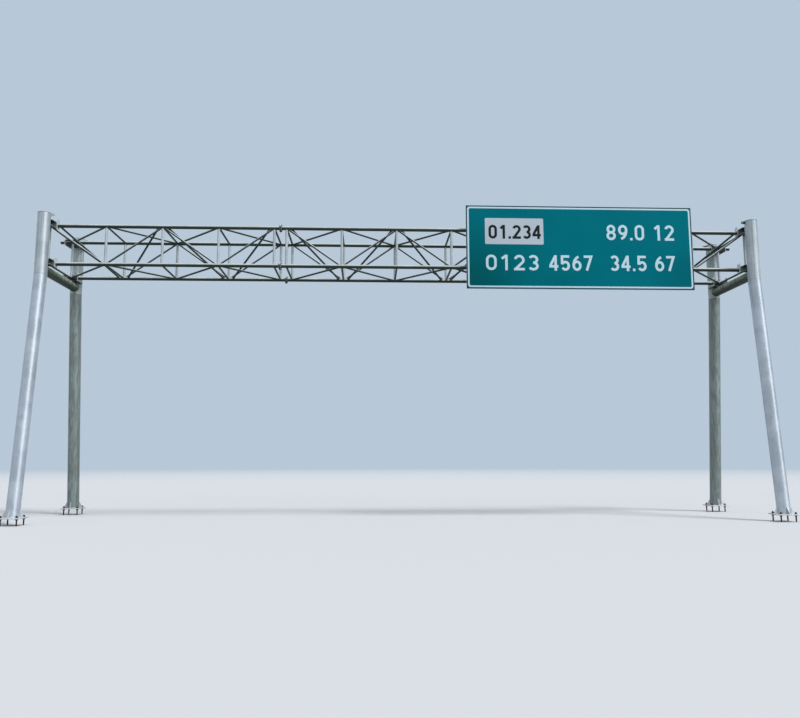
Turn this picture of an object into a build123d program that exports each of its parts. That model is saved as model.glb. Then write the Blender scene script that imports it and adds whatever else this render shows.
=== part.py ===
from build123d import *
import math
import os

os.makedirs("parts", exist_ok=True)

# x runs along the truss, +y away from the traffic, and z = 0 is the ground

# truss, sizes between the axes of its tubes
bay = 1650
bays_per_segment = 4
truss_height = 1160
truss_depth = 1738
top_chord_height = 8600
chord_diameter = 114.3
chord_wall = 6.3
chord_sides = 12
upright_diameter = 76.1
brace_diameter = 60.3
bar_sides = 6
nut_sides = 6
hole_sides = 12
inner_brace_setback = 120
inner_brace_leg_setback = 270

# splices, where two lengths of truss are bolted together end to end
splice_stub_left = 183
splice_stub_right = 391
flange_diameter = 244
flange_thickness = 20
flange_sides = 24

# legs, upright beside the truss and splayed below their bend
leg_diameter = 355.6
leg_wall = 8
leg_to_truss = 446
leg_rise = 240
leg_bend_drop = 425
leg_foot_spread = 2077
cap_diameter = 368
cap_thickness = 10
lug_length = 120
lug_height = 80
lug_thickness = 14
lug_hole_diameter = 32
lug_drop = 10
cross_tube_diameter = 273
cross_tube_wall = 8
cross_tube_drop = 240

# feet, each standing on anchor bolts with levelling nuts
stand_off = 185
base_plate_size = 600
base_plate_thickness = 30
base_vent_diameter = 120
gusset_count = 4
gusset_thickness = 14
gusset_height = 175
gusset_reach = 285
gusset_toe = 25
gusset_root = 100
anchor_count = 4
anchor_circle = 594
anchor_diameter = 40
anchor_hole_clearance = 2
anchor_sides = 12
anchor_nut_width = 64
anchor_nut_height = 32
anchor_thread_end = 28

# clamps that hold the chords to the legs
clamp_length = 470
clamp_plate_thickness = 16
clamp_web_thickness = 12
clamp_inner_reach = 100
clamp_end_inner_reach = 80
clamp_wrap = 110
clamp_below_chord = 100
clamp_above_chord = 180
clamp_hole_clearance = 3
clamp_bolt_spacing = 350
clamp_notch_clearance = 12
chord_overhang = 140

# bent bolts round the chords
u_bolt_diameter = 20
u_bolt_seat = 0.1
u_bolt_hole_clearance = 2
u_bolt_nut_width = 32
u_bolt_nut_height = 16
u_bolt_thread_end = 36

# sign and what carries it in front of the truss
sign_width = 6888
sign_height = 2556
sign_offset = 5307
sign_drop = 566
panel_thickness = 4
edge_frame_depth = 40
edge_frame_wall = 4
rib_count = 5
rib_height = 50
rib_wall = 3
rib_end_gap = 5
rib_margin = 150
post_count = 4
post_size = 100
post_wall = 5
post_spacing = 1910
post_setback = 60
saddle_width = 220
saddle_height = 190
saddle_thickness = 12
sign_bolt_diameter = 16
sign_bolt_spacing = 150
sign_nut_width = 26
sign_nut_height = 13
sign_thread_end = 22

# levels and places that follow from the sizes above
bottom_chord_height = top_chord_height - truss_height
bend_height = bottom_chord_height - leg_bend_drop
cross_tube_height = bottom_chord_height - cross_tube_drop
leg_top = top_chord_height + leg_rise
plate_top = stand_off + base_plate_thickness
chord_radius = chord_diameter / 2
truss_half_depth = truss_depth / 2
leg_y = truss_half_depth + leg_to_truss
segment_length = bays_per_segment * bay
left_start = -(3 * segment_length + 2 * splice_stub_left + 2 * splice_stub_right) / 2
middle_start = left_start + segment_length + 2 * splice_stub_left
right_start = middle_start + segment_length + 2 * splice_stub_right
leg_x = {"left": left_start, "right": right_start + segment_length}
sides = {"front": -1, "rear": 1}
chord_end = clamp_length / 2 + chord_overhang


def bar(start, end, diameter, side_count=bar_sides, mode=Mode.ADD):
    """A straight bar of few sides from one point to another, in the part being built."""
    run = Vector(*end) - Vector(*start)
    with BuildSketch(Plane(origin=start, z_dir=run)) as section:
        RegularPolygon(diameter / 2, side_count, major_radius=False, rotation=180 / side_count)
    extrude(section.sketch, amount=run.length, mode=mode)


def block(x_range, y_range, z_range, mode=Mode.ADD):
    """A square-edged plate between pairs of limits, in the part being built."""
    limits = [sorted(pair) for pair in (x_range, y_range, z_range)]
    middle = Vector(*[(low + high) / 2 for low, high in limits])
    with Locations(middle):
        Box(*[high - low for low, high in limits], mode=mode)


def leg_rod(x, side, diameter):
    """A solid rod along a leg's axis, from the base plate up over the bend to the top."""
    lean = (leg_foot_spread - leg_y) / (bend_height - plate_top)
    below = leg_diameter
    with BuildPart() as rod:
        with BuildLine() as axis:
            Polyline(
                (x, side * (leg_foot_spread + lean * below), plate_top - below),
                (x, side * leg_y, bend_height),
                (x, side * leg_y, leg_top),
            )
        with BuildSketch(Plane(origin=axis.line @ 0, z_dir=axis.line % 0)):
            Circle(diameter / 2)
        sweep(path=axis.line, transition=Transition.RIGHT)
        split(bisect_by=Plane.XY.offset(plate_top), keep=Keep.TOP)
    return rod


def make_leg(x, side, outside):
    """Tubular leg, mitred at its bend, with a cap plate welded over the top and a lifting lug below it."""
    inside = leg_rod(x, side, leg_diameter - 2 * leg_wall)
    inward = -math.copysign(1, x)
    lug_top = leg_top - lug_drop
    lug_root = x + inward * (leg_diameter - leg_wall) / 2
    lug_tip = x + inward * (leg_diameter / 2 + lug_length)
    lug_y = side * leg_y
    hole_x = lug_tip - inward * lug_height / 2
    with BuildPart() as leg:
        add(outside.part)
        add(inside.part, mode=Mode.SUBTRACT)
        with BuildSketch(Plane.XY.offset(leg_top)):
            with Locations((x, side * leg_y)):
                Circle(cap_diameter / 2)
        extrude(amount=cap_thickness)
        block(
            (lug_root, lug_tip),
            (lug_y - lug_thickness / 2, lug_y + lug_thickness / 2),
            (lug_top - lug_height, lug_top),
        )
        bar(
            (hole_x, lug_y - lug_thickness, lug_top - lug_height / 2),
            (hole_x, lug_y + lug_thickness, lug_top - lug_height / 2),
            lug_hole_diameter,
            hole_sides,
            Mode.SUBTRACT,
        )
    return leg


def make_base_plate(x, side, outside):
    """Foot plate with gussets that end against the leaning leg."""
    y = side * leg_foot_spread
    with BuildPart() as plate:
        with BuildSketch(Plane.XY.offset(stand_off)):
            with Locations((x, y)):
                Rectangle(base_plate_size, base_plate_size)
                RegularPolygon(base_vent_diameter / 2, hole_sides, mode=Mode.SUBTRACT)
                with PolarLocations(anchor_circle / 2, anchor_count, start_angle=180 / anchor_count):
                    RegularPolygon(
                        anchor_diameter / 2 + anchor_hole_clearance,
                        hole_sides,
                        major_radius=False,
                        mode=Mode.SUBTRACT,
                    )
        extrude(amount=base_plate_thickness)
        for step in range(gusset_count):
            angle = 2 * math.pi * step / gusset_count
            outward = (math.cos(angle), math.sin(angle), 0)
            across = (math.sin(angle), -math.cos(angle), 0)
            with BuildSketch(Plane(origin=(x, y, plate_top), x_dir=outward, z_dir=across)):
                with BuildLine():
                    Polyline(
                        (gusset_root, 0),
                        (gusset_reach, 0),
                        (gusset_reach, gusset_toe),
                        (leg_diameter / 2 + gusset_toe, gusset_height),
                        (gusset_root, gusset_height),
                        close=True,
                    )
                make_face()
            extrude(amount=gusset_thickness / 2, both=True)
        add(outside.part, mode=Mode.SUBTRACT)
    return plate


def make_anchor_bolts(x, side):
    """Studs out of the foundation, each with a nut under the base plate and one on it."""
    y = side * leg_foot_spread
    levelling_nut_bottom = stand_off - anchor_nut_height
    tip = plate_top + anchor_nut_height + anchor_thread_end
    with BuildPart() as anchors:
        with BuildSketch():
            with Locations((x, y)):
                with PolarLocations(anchor_circle / 2, anchor_count, start_angle=180 / anchor_count):
                    Circle(anchor_diameter / 2)
        extrude(amount=levelling_nut_bottom)
        for bottom, height, width, side_count in (
            (levelling_nut_bottom, tip - levelling_nut_bottom, anchor_diameter, anchor_sides),
            (levelling_nut_bottom, anchor_nut_height, anchor_nut_width, nut_sides),
            (plate_top, anchor_nut_height, anchor_nut_width, nut_sides),
        ):
            with BuildSketch(Plane.XY.offset(bottom)):
                with Locations((x, y)):
                    with PolarLocations(anchor_circle / 2, anchor_count, start_angle=180 / anchor_count):
                        RegularPolygon(width / 2, side_count, major_radius=False)
            extrude(amount=height)
    return anchors


def make_cross_tube(x, front_outside, rear_outside):
    """Tube between the two legs of one end, its ends saddle cut round them."""
    with BuildPart() as tube:
        with BuildSketch(Plane(origin=(x, -leg_y, cross_tube_height), z_dir=(0, 1, 0))):
            Circle(cross_tube_diameter / 2)
            Circle(cross_tube_diameter / 2 - cross_tube_wall, mode=Mode.SUBTRACT)
        extrude(amount=2 * leg_y)
        add(front_outside.part, mode=Mode.SUBTRACT)
        add(rear_outside.part, mode=Mode.SUBTRACT)
    return tube


def make_chord_clamps(x, side, outside):
    """Two welded brackets on one leg; each chord hangs under a top plate and passes two end plates."""
    bolt_reach = chord_radius + u_bolt_seat + u_bolt_diameter / 2
    plate_inside = clamp_length / 2 - clamp_web_thickness
    leg_inner_face = leg_to_truss - leg_diameter / 2
    web_inner = bolt_reach + u_bolt_diameter
    notch = upright_diameter / 2 / math.cos(math.pi / bar_sides) + clamp_notch_clearance

    def outward(distance):
        return side * (truss_half_depth + distance)

    with BuildPart() as clamps:
        for z in (top_chord_height, bottom_chord_height):
            seat = z + chord_radius
            block(
                (x - plate_inside, x + plate_inside),
                (outward(-clamp_inner_reach), outward(leg_inner_face + clamp_wrap)),
                (seat, seat + clamp_plate_thickness),
            )
            block(
                (x - plate_inside, x + plate_inside),
                (outward(web_inner), outward(web_inner + clamp_web_thickness)),
                (z - clamp_below_chord, seat),
            )
            block(
                (x - plate_inside, x + plate_inside),
                (outward(web_inner), outward(leg_inner_face + clamp_wrap)),
                (z - clamp_below_chord, z - clamp_below_chord + clamp_plate_thickness),
            )
            block(
                (x - clamp_web_thickness / 2, x + clamp_web_thickness / 2),
                (outward(web_inner), outward(leg_inner_face + clamp_wrap)),
                (z - clamp_below_chord, seat),
            )
            for end in (-1, 1):
                block(
                    (x + end * plate_inside, x + end * clamp_length / 2),
                    (outward(-clamp_end_inner_reach), outward(web_inner + clamp_web_thickness)),
                    (z - clamp_below_chord, z + clamp_above_chord),
                )
            for start in (x - clamp_length / 2, x + plate_inside):
                bar(
                    (start, outward(0), z),
                    (start + clamp_web_thickness, outward(0), z),
                    chord_diameter + 2 * clamp_hole_clearance,
                    chord_sides,
                    Mode.SUBTRACT,
                )
            with BuildSketch(Plane.XY.offset(seat)):
                with Locations((x, outward(0))):
                    with GridLocations(clamp_bolt_spacing, 2 * bolt_reach, 2, 2):
                        RegularPolygon(u_bolt_diameter / 2 + u_bolt_hole_clearance, hole_sides)
            extrude(amount=clamp_plate_thickness, mode=Mode.SUBTRACT)
        lower_seat = bottom_chord_height + chord_radius
        block(
            (x - notch, x + notch),
            (outward(-clamp_inner_reach), outward(notch)),
            (lower_seat, lower_seat + clamp_plate_thickness),
            mode=Mode.SUBTRACT,
        )
        add(outside.part, mode=Mode.SUBTRACT)
    return clamps


def u_bolt(plane, diameter, plate_far_side, nut_width, nut_height, thread_end):
    """A bent bolt round a chord, with a nut on each leg; the plane's y axis points along the legs."""
    reach = chord_radius + u_bolt_seat + diameter / 2
    corner = reach / math.cos(math.pi / chord_sides)
    tip = plate_far_side + nut_height + thread_end
    turn = 360 / chord_sides
    round_the_chord = [
        (corner * math.cos(math.radians(angle)), corner * math.sin(math.radians(angle)))
        for angle in [180 + turn * (step + 0.5) for step in range(chord_sides // 2)]
    ]
    with BuildLine(plane) as path:
        Polyline((-reach, tip), *round_the_chord, (reach, tip))
    with BuildSketch(Plane(origin=path.line @ 0, x_dir=plane.z_dir, z_dir=path.line % 0)) as section:
        RegularPolygon(diameter / 2, bar_sides, major_radius=False)
    sweep(section.sketch, path=path.line, transition=Transition.RIGHT)
    for across in (-reach, reach):
        foot = plane.from_local_coords((across, plate_far_side, 0))
        with BuildSketch(Plane(origin=foot, z_dir=plane.y_dir)) as nut:
            RegularPolygon(nut_width / 2, nut_sides, major_radius=False)
        extrude(nut.sketch, amount=nut_height)


def make_clamp_u_bolts(x, side):
    """Four bent bolts that pull the two chords of one leg up against their clamp plates."""
    with BuildPart() as bolts:
        for z in (top_chord_height, bottom_chord_height):
            for end in (-1, 1):
                place = (x + end * clamp_bolt_spacing / 2, side * truss_half_depth, z)
                u_bolt(
                    Plane(origin=place, x_dir=(0, 1, 0), z_dir=(1, 0, 0)),
                    u_bolt_diameter,
                    chord_radius + clamp_plate_thickness,
                    u_bolt_nut_width,
                    u_bolt_nut_height,
                    u_bolt_thread_end,
                )
    return bolts


def make_truss_face(side, start, low_reach, high_reach, low_flange, high_flange):
    """One upright side of a truss segment: two chords with uprights, diagonals and splice flanges."""
    y = side * truss_half_depth
    low_end = start - low_reach
    high_end = start + segment_length + high_reach
    with BuildPart() as face:
        for z in (top_chord_height, bottom_chord_height):
            bar((low_end, y, z), (high_end, y, z), chord_diameter, chord_sides)
            flange_starts = ((low_flange, low_end), (high_flange, high_end - flange_thickness))
            for has_flange, flange_start in flange_starts:
                if has_flange:
                    with BuildSketch(Plane(origin=(flange_start, y, z), z_dir=(1, 0, 0))):
                        RegularPolygon(flange_diameter / 2, flange_sides)
                    extrude(amount=flange_thickness)
        for node in range(bays_per_segment + 1):
            x = start + node * bay
            bar((x, y, bottom_chord_height), (x, y, top_chord_height), upright_diameter)
        for node in range(bays_per_segment):
            levels = (top_chord_height, bottom_chord_height)
            first, last = levels if node % 2 == 0 else levels[::-1]
            x = start + node * bay
            bar((x, y, first), (x + bay, y, last), brace_diameter)
        for z in (top_chord_height, bottom_chord_height):
            bore = chord_diameter - 2 * chord_wall
            bar((low_end, y, z), (high_end, y, z), bore, chord_sides, Mode.SUBTRACT)
    return face


def cut_round_chords(start):
    """Saddle cuts where bracing meets the four chords, in the part being built."""
    for y in (-truss_half_depth, truss_half_depth):
        for z in (top_chord_height, bottom_chord_height):
            low = (start - bay / 2, y, z)
            high = (start + segment_length + bay / 2, y, z)
            bar(low, high, chord_diameter, chord_sides, Mode.SUBTRACT)


def make_plan_bracing(start, z):
    """Level side of a truss segment: bars across at every node and a zigzag between them."""
    with BuildPart() as bracing:
        for node in range(bays_per_segment + 1):
            x = start + node * bay
            bar((x, -truss_half_depth, z), (x, truss_half_depth, z), brace_diameter)
        for node in range(bays_per_segment):
            first = truss_half_depth if node % 2 == 0 else -truss_half_depth
            x = start + node * bay
            bar((x, first, z), (x + bay, -first, z), brace_diameter)
        cut_round_chords(start)
    return bracing


def make_inner_bracing(start, low_flange, high_flange):
    """Sloping zigzag inside a truss segment, from the front top chord to the rear bottom chord."""
    with BuildPart() as bracing:
        for node in range(bays_per_segment):
            rising = node % 2 == 1
            from_leg = node == 0 and not low_flange
            to_leg = node == bays_per_segment - 1 and not high_flange
            low_x = start + node * bay + (inner_brace_leg_setback if from_leg else inner_brace_setback)
            high_x = start + (node + 1) * bay - (inner_brace_leg_setback if to_leg else inner_brace_setback)
            front_x, rear_x = (high_x, low_x) if rising else (low_x, high_x)
            bar(
                (front_x, -truss_half_depth, top_chord_height),
                (rear_x, truss_half_depth, bottom_chord_height),
                brace_diameter,
            )
        cut_round_chords(start)
    return bracing


pieces = {}

for end, x in leg_x.items():
    rods = {}
    for face, side in sides.items():
        rods[face] = leg_rod(x, side, leg_diameter)
        pieces[f"leg_{face}_{end}"] = make_leg(x, side, rods[face])
        pieces[f"base_plate_{face}_{end}"] = make_base_plate(x, side, rods[face])
        pieces[f"anchor_bolts_{face}_{end}"] = make_anchor_bolts(x, side)
        pieces[f"chord_clamps_{face}_{end}"] = make_chord_clamps(x, side, rods[face])
        pieces[f"clamp_u_bolts_{face}_{end}"] = make_clamp_u_bolts(x, side)
    pieces[f"cross_tube_{end}"] = make_cross_tube(x, rods["front"], rods["rear"])

segments = {
    "left": (left_start, chord_end, splice_stub_left, False, True),
    "middle": (middle_start, splice_stub_left, splice_stub_right, True, True),
    "right": (right_start, splice_stub_right, chord_end, True, False),
}
for segment, (start, low_reach, high_reach, low_flange, high_flange) in segments.items():
    for face, side in sides.items():
        truss_face = make_truss_face(side, start, low_reach, high_reach, low_flange, high_flange)
        pieces[f"truss_{face}_{segment}"] = truss_face
    pieces[f"top_bracing_{segment}"] = make_plan_bracing(start, top_chord_height)
    pieces[f"bottom_bracing_{segment}"] = make_plan_bracing(start, bottom_chord_height)
    pieces[f"inner_bracing_{segment}"] = make_inner_bracing(start, low_flange, high_flange)

# the sign stands in front of the front chords: saddle plate, post, rib, panel
saddle_back = -truss_half_depth - chord_radius
post_back = saddle_back - saddle_thickness
post_front = post_back - post_size
panel_back = post_front - edge_frame_depth
panel_front = panel_back - panel_thickness
sign_middle = top_chord_height - sign_drop
sign_low = sign_middle - sign_height / 2
sign_high = sign_middle + sign_height / 2
sign_left = sign_offset - sign_width / 2
sign_right = sign_offset + sign_width / 2
post_places = [sign_offset + post_spacing * (step - (post_count - 1) / 2) for step in range(post_count)]

with BuildPart() as sign_panel:
    block((sign_left, sign_right), (panel_front, panel_back), (sign_low, sign_high))

with BuildPart() as sign_edge_frame:
    with BuildSketch(Plane(origin=(sign_offset, post_front, sign_middle), x_dir=(1, 0, 0), z_dir=(0, -1, 0))):
        Rectangle(sign_width, sign_height)
        Rectangle(sign_width - 2 * edge_frame_wall, sign_height - 2 * edge_frame_wall, mode=Mode.SUBTRACT)
    extrude(amount=edge_frame_depth)
    flange_plane = Plane(
        origin=(sign_offset, panel_back + edge_frame_wall, sign_middle), x_dir=(1, 0, 0), z_dir=(0, -1, 0)
    )
    with BuildSketch(flange_plane):
        Rectangle(sign_width, sign_height)
        Rectangle(sign_width - 2 * edge_frame_depth, sign_height - 2 * edge_frame_depth, mode=Mode.SUBTRACT)
    extrude(amount=edge_frame_wall)

with BuildPart() as sign_ribs:
    rib_spacing = (sign_height - 2 * rib_margin) / (rib_count - 1)
    rib_length = sign_width - 2 * (edge_frame_depth + rib_end_gap)
    rib_plane = Plane(
        origin=(sign_offset - rib_length / 2, (post_front + panel_back) / 2, sign_middle),
        x_dir=(0, 1, 0),
        z_dir=(1, 0, 0),
    )
    with BuildSketch(rib_plane):
        with GridLocations(0, rib_spacing, 1, rib_count):
            Rectangle(edge_frame_depth, rib_height)
            Rectangle(edge_frame_depth - 2 * rib_wall, rib_height - 2 * rib_wall, mode=Mode.SUBTRACT)
    extrude(amount=rib_length)

with BuildPart() as sign_posts:
    with BuildSketch(Plane.XY.offset(sign_low + post_setback)):
        with Locations(*[(x, (post_back + post_front) / 2) for x in post_places]):
            Rectangle(post_size, post_size)
            Rectangle(post_size - 2 * post_wall, post_size - 2 * post_wall, mode=Mode.SUBTRACT)
    extrude(amount=sign_height - 2 * post_setback)

with BuildPart() as sign_saddle_plates:
    sign_bolt_reach = chord_radius + u_bolt_seat + sign_bolt_diameter / 2
    saddle_hole_radius = sign_bolt_diameter / 2 + u_bolt_hole_clearance
    for x in post_places:
        for z in (top_chord_height, bottom_chord_height):
            with BuildSketch(Plane(origin=(x, saddle_back, z), x_dir=(1, 0, 0), z_dir=(0, -1, 0))):
                Rectangle(saddle_width, saddle_height)
                with GridLocations(sign_bolt_spacing, 2 * sign_bolt_reach, 2, 2):
                    RegularPolygon(saddle_hole_radius, hole_sides, mode=Mode.SUBTRACT)
            extrude(amount=saddle_thickness)

with BuildPart() as sign_u_bolts:
    for x in post_places:
        for z in (top_chord_height, bottom_chord_height):
            for end in (-1, 1):
                u_bolt(
                    Plane(
                        origin=(x + end * sign_bolt_spacing / 2, -truss_half_depth, z),
                        x_dir=(0, 0, 1),
                        z_dir=(1, 0, 0),
                    ),
                    sign_bolt_diameter,
                    chord_radius + saddle_thickness,
                    sign_nut_width,
                    sign_nut_height,
                    sign_thread_end,
                )

pieces["sign_panel"] = sign_panel
pieces["sign_edge_frame"] = sign_edge_frame
pieces["sign_ribs"] = sign_ribs
pieces["sign_posts"] = sign_posts
pieces["sign_saddle_plates"] = sign_saddle_plates
pieces["sign_u_bolts"] = sign_u_bolts

for name, piece in pieces.items():
    piece.part.label = name
    export_step(piece.part, f"parts/{name}.step")
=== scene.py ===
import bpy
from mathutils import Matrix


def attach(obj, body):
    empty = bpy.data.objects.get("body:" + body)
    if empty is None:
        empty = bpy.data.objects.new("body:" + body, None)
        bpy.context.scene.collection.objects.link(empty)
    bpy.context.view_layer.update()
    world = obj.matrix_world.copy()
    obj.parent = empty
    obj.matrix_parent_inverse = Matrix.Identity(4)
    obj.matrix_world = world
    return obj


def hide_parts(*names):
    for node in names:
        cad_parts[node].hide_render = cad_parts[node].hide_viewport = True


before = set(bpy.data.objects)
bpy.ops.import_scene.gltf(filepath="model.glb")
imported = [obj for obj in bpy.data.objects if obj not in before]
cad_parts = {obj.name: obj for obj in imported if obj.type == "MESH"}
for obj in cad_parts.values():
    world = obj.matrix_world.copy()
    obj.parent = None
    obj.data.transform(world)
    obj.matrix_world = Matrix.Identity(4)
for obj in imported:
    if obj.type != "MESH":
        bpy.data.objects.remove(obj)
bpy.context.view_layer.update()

import math
import bmesh
import bpy
from mathutils import Matrix, Vector
from mathutils.bvhtree import BVHTree

scene = bpy.context.scene
scene.view_settings.view_transform = "Standard"
print("frame loaded:", len(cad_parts), "nodes")

# camera, world, lamps and floor

photoView = {
    "lens": 33.80, "sensor": 36, "farClip": 1000, "eye": (-1.043, -22.8, 1.702),
    "pitch": 7.67, "turn": 2.414, "roll": -0.11,
}


def linked(name, data):
    holder = bpy.data.objects.new(name, data)
    scene.collection.objects.link(holder)
    return holder


def placeCamera():
    pitch, turn, roll = (math.radians(photoView[key]) for key in ("pitch", "turn", "roll"))
    level = Vector((math.sin(turn), math.cos(turn), 0))
    across = Vector((math.cos(turn), -math.sin(turn), 0))
    ahead = level * math.cos(pitch) + Vector((0, 0, math.sin(pitch)))
    above = Vector((0, 0, math.cos(pitch))) - level * math.sin(pitch)
    right = across * math.cos(roll) + above * math.sin(roll)
    up = above * math.cos(roll) - across * math.sin(roll)
    data = bpy.data.cameras.new("photoView")
    data.sensor_width = photoView["sensor"]
    data.lens = photoView["lens"]
    data.clip_end = photoView["farClip"]
    camera = linked("photoView", data)
    facing = Matrix((right, up, -ahead)).transposed().to_4x4()
    camera.matrix_world = Matrix.Translation(photoView["eye"]) @ facing
    scene.camera = camera


studio = {
    "sky": (0.478, 0.578, 0.684, 1), "skyLight": (0.38, 0.42, 0.48, 1),
    "lamps": {
        "key": {"strength": 2.9, "height": 58, "turn": 50, "spread": 16, "inGloss": True},
        "haze": {"strength": 0.72, "height": 18, "turn": 50, "spread": 30, "inGloss": True},
        "fill": {"strength": 0.50, "height": 20, "turn": -22, "spread": 80, "inGloss": False},
        "side": {"strength": 0.40, "height": 15, "turn": -100, "spread": 120, "inGloss": True},
    },
    "floorSeen": (0.52, 0.53, 0.54, 1), "floorBounce": (0.20, 0.20, 0.18, 1), "floorRough": 0.9,
    "floorHalf": 260, "fadeFrom": 30, "fadeTo": 150,
}


def addNode(tree, kind, inputs=None, **settings):
    node = tree.nodes.new(kind)
    for key, value in settings.items():
        setattr(node, key, value)
    for key, value in (inputs or {}).items():
        if isinstance(value, bpy.types.NodeSocket):
            tree.links.new(value, node.inputs[key])
        else:
            node.inputs[key].default_value = value
    return node


def calc(tree, operation, first, second):
    return addNode(tree, "ShaderNodeMath", {0: first, 1: second}, operation=operation).outputs[0]


def times(tree, first, second):
    return calc(tree, "MULTIPLY", first, second)


def plus(tree, first, second):
    return calc(tree, "ADD", first, second)


def inverse(tree, mask):
    return calc(tree, "SUBTRACT", 1.0, mask)


def mixColour(tree, factor, first, second):
    return addNode(tree, "ShaderNodeMix", {0: factor, 6: first, 7: second}, data_type="RGBA").outputs[2]


def remap(tree, value, low, high, toLow=0.0, toHigh=1.0):
    sockets = {"Value": value, "From Min": low, "From Max": high, "To Min": toLow, "To Max": toHigh}
    return addNode(tree, "ShaderNodeMapRange", sockets, interpolation_type="SMOOTHSTEP").outputs[0]


def objectSpot(tree):
    return addNode(tree, "ShaderNodeTexCoord").outputs["Object"]


def noise(tree, spot, scale, detail, rough=0.5):
    sockets = {"Vector": spot, "Scale": scale, "Detail": detail, "Roughness": rough}
    return addNode(tree, "ShaderNodeTexNoise", sockets).outputs["Fac"]


def feed(tree, inputs, values):
    for name, value in values.items():
        tree.links.new(value, inputs[name])


def startMaterial(name):
    material = bpy.data.materials.new(name)
    material.use_nodes = True
    tree = material.node_tree
    tree.nodes.clear()
    shader = tree.nodes.new("ShaderNodeBsdfPrincipled")
    output = tree.nodes.new("ShaderNodeOutputMaterial")
    tree.links.new(shader.outputs[0], output.inputs["Surface"])
    return material, tree, shader


def seenRays(tree):
    # 1 for what the camera sees, also in gloss and through glass
    path = addNode(tree, "ShaderNodeLightPath").outputs
    seen = calc(tree, "MAXIMUM", path["Is Camera Ray"], path["Is Glossy Ray"])
    return calc(tree, "MAXIMUM", seen, path["Is Transmission Ray"])


def lightStudio():
    world = bpy.data.worlds.new("paleSky")
    world.use_nodes = True
    tree = world.node_tree
    tone = mixColour(tree, seenRays(tree), studio["skyLight"], studio["sky"])
    tree.links.new(tone, tree.nodes["Background"].inputs["Color"])
    scene.world = world
    for name, look in studio["lamps"].items():
        lamp = bpy.data.lights.new(name, "SUN")
        lamp.energy = look["strength"]
        lamp.angle = math.radians(look["spread"])
        holder = linked(name, lamp)
        holder.visible_glossy = look["inGloss"]
        height, turn = math.radians(look["height"]), math.radians(look["turn"])
        level = math.cos(height)
        toward = Vector((math.sin(turn) * level, -math.cos(turn) * level, math.sin(height)))
        holder.rotation_euler = toward.to_track_quat("Z", "Y").to_euler()


def layFloor():
    half = studio["floorHalf"]
    mesh = bpy.data.meshes.new("studioFloor")
    square = [(-half, -half, 0), (half, -half, 0), (half, half, 0), (-half, half, 0)]
    mesh.from_pydata(square, [], [(0, 1, 2, 3)])
    material, tree, shader = startMaterial("paleFloor")
    away = addNode(tree, "ShaderNodeVectorMath", {0: objectSpot(tree)}, operation="LENGTH").outputs["Value"]
    feed(tree, shader.inputs, {
        "Alpha": remap(tree, away, studio["fadeFrom"], studio["fadeTo"], 1.0, 0.0),
        "Base Color": mixColour(tree, seenRays(tree), studio["floorBounce"], studio["floorSeen"]),
    })
    shader.inputs["Roughness"].default_value = studio["floorRough"]
    mesh.materials.append(material)
    linked("studioFloor", mesh)


placeCamera()
lightStudio()
layFloor()
print("studio ready")

# shader groups that several finishes share


def addSockets(tree, way, sockets):
    # a socket's kind follows from its value, or is named where it has none
    kinds = {bool: "Bool", int: "Int", float: "Float"}
    for label, value in sockets.items():
        if isinstance(value, str):
            tree.interface.new_socket(label, in_out=way, socket_type="NodeSocket" + value)
        else:
            kind = kinds.get(type(value)) or ("Color" if len(value) == 4 else "Vector")
            tree.interface.new_socket(label, in_out=way, socket_type="NodeSocket" + kind).default_value = value


def startGroup(name, inputs, outputs):
    tree = bpy.data.node_groups.new(name, "ShaderNodeTree")
    addSockets(tree, "INPUT", inputs)
    addSockets(tree, "OUTPUT", outputs)
    return tree, tree.nodes.new("NodeGroupInput").outputs, tree.nodes.new("NodeGroupOutput").inputs


# the levels of a noise between which its mask rises from 0 to 1
rise = {"blotch": (0.35, 0.66), "breaks": (0.35, 0.6), "rolled": (0.35, 0.65), "grain": (0.3, 0.7)}


def makeSpangleGroup():
    # zinc crystals, mixed with large slow blotches
    cloud = {"scale": 1.7, "detail": 5.0, "rough": 0.6}
    tree, given, result = startGroup("zincSpangle", {
        "Cells": 28.0, "Mottle": 0.5, "Light": (0.6, 0.6, 0.6, 1), "Dark": (0.4, 0.4, 0.4, 1),
    }, {"Color": "Color", "Mask": "Float"})
    spot = objectSpot(tree)
    cells = addNode(tree, "ShaderNodeTexVoronoi", {"Vector": spot, "Scale": given["Cells"]})
    facet = addNode(tree, "ShaderNodeSeparateColor", {0: cells.outputs["Color"]}).outputs[0]
    slow = noise(tree, spot, cloud["scale"], cloud["detail"], cloud["rough"])
    blotch = remap(tree, slow, *rise["blotch"])
    blend = addNode(tree, "ShaderNodeMix", {0: given["Mottle"], 2: facet, 3: blotch}).outputs[0]
    feed(tree, result, {"Color": mixColour(tree, blend, given["Dark"], given["Light"]), "Mask": blend})
    return tree


def makeFacingGroup():
    # a mask by how far the surface looks up or down, with a ragged border
    tree, given, result = startGroup(
        "shadeAndDustByFacing", {"Start": 0.2, "End": 0.9, "Ragged": 0.4, "Scale": 6.0}, {"Mask": "Float"},
    )
    normal = addNode(tree, "ShaderNodeNewGeometry").outputs["Normal"]
    lift = addNode(tree, "ShaderNodeSeparateXYZ", {0: normal}).outputs["Z"]
    off = calc(tree, "SUBTRACT", noise(tree, objectSpot(tree), given["Scale"], 4.0), 0.5)
    ragged = times(tree, off, given["Ragged"])
    feed(tree, result, {"Mask": remap(tree, plus(tree, lift, ragged), given["Start"], given["End"])})
    return tree


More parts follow.
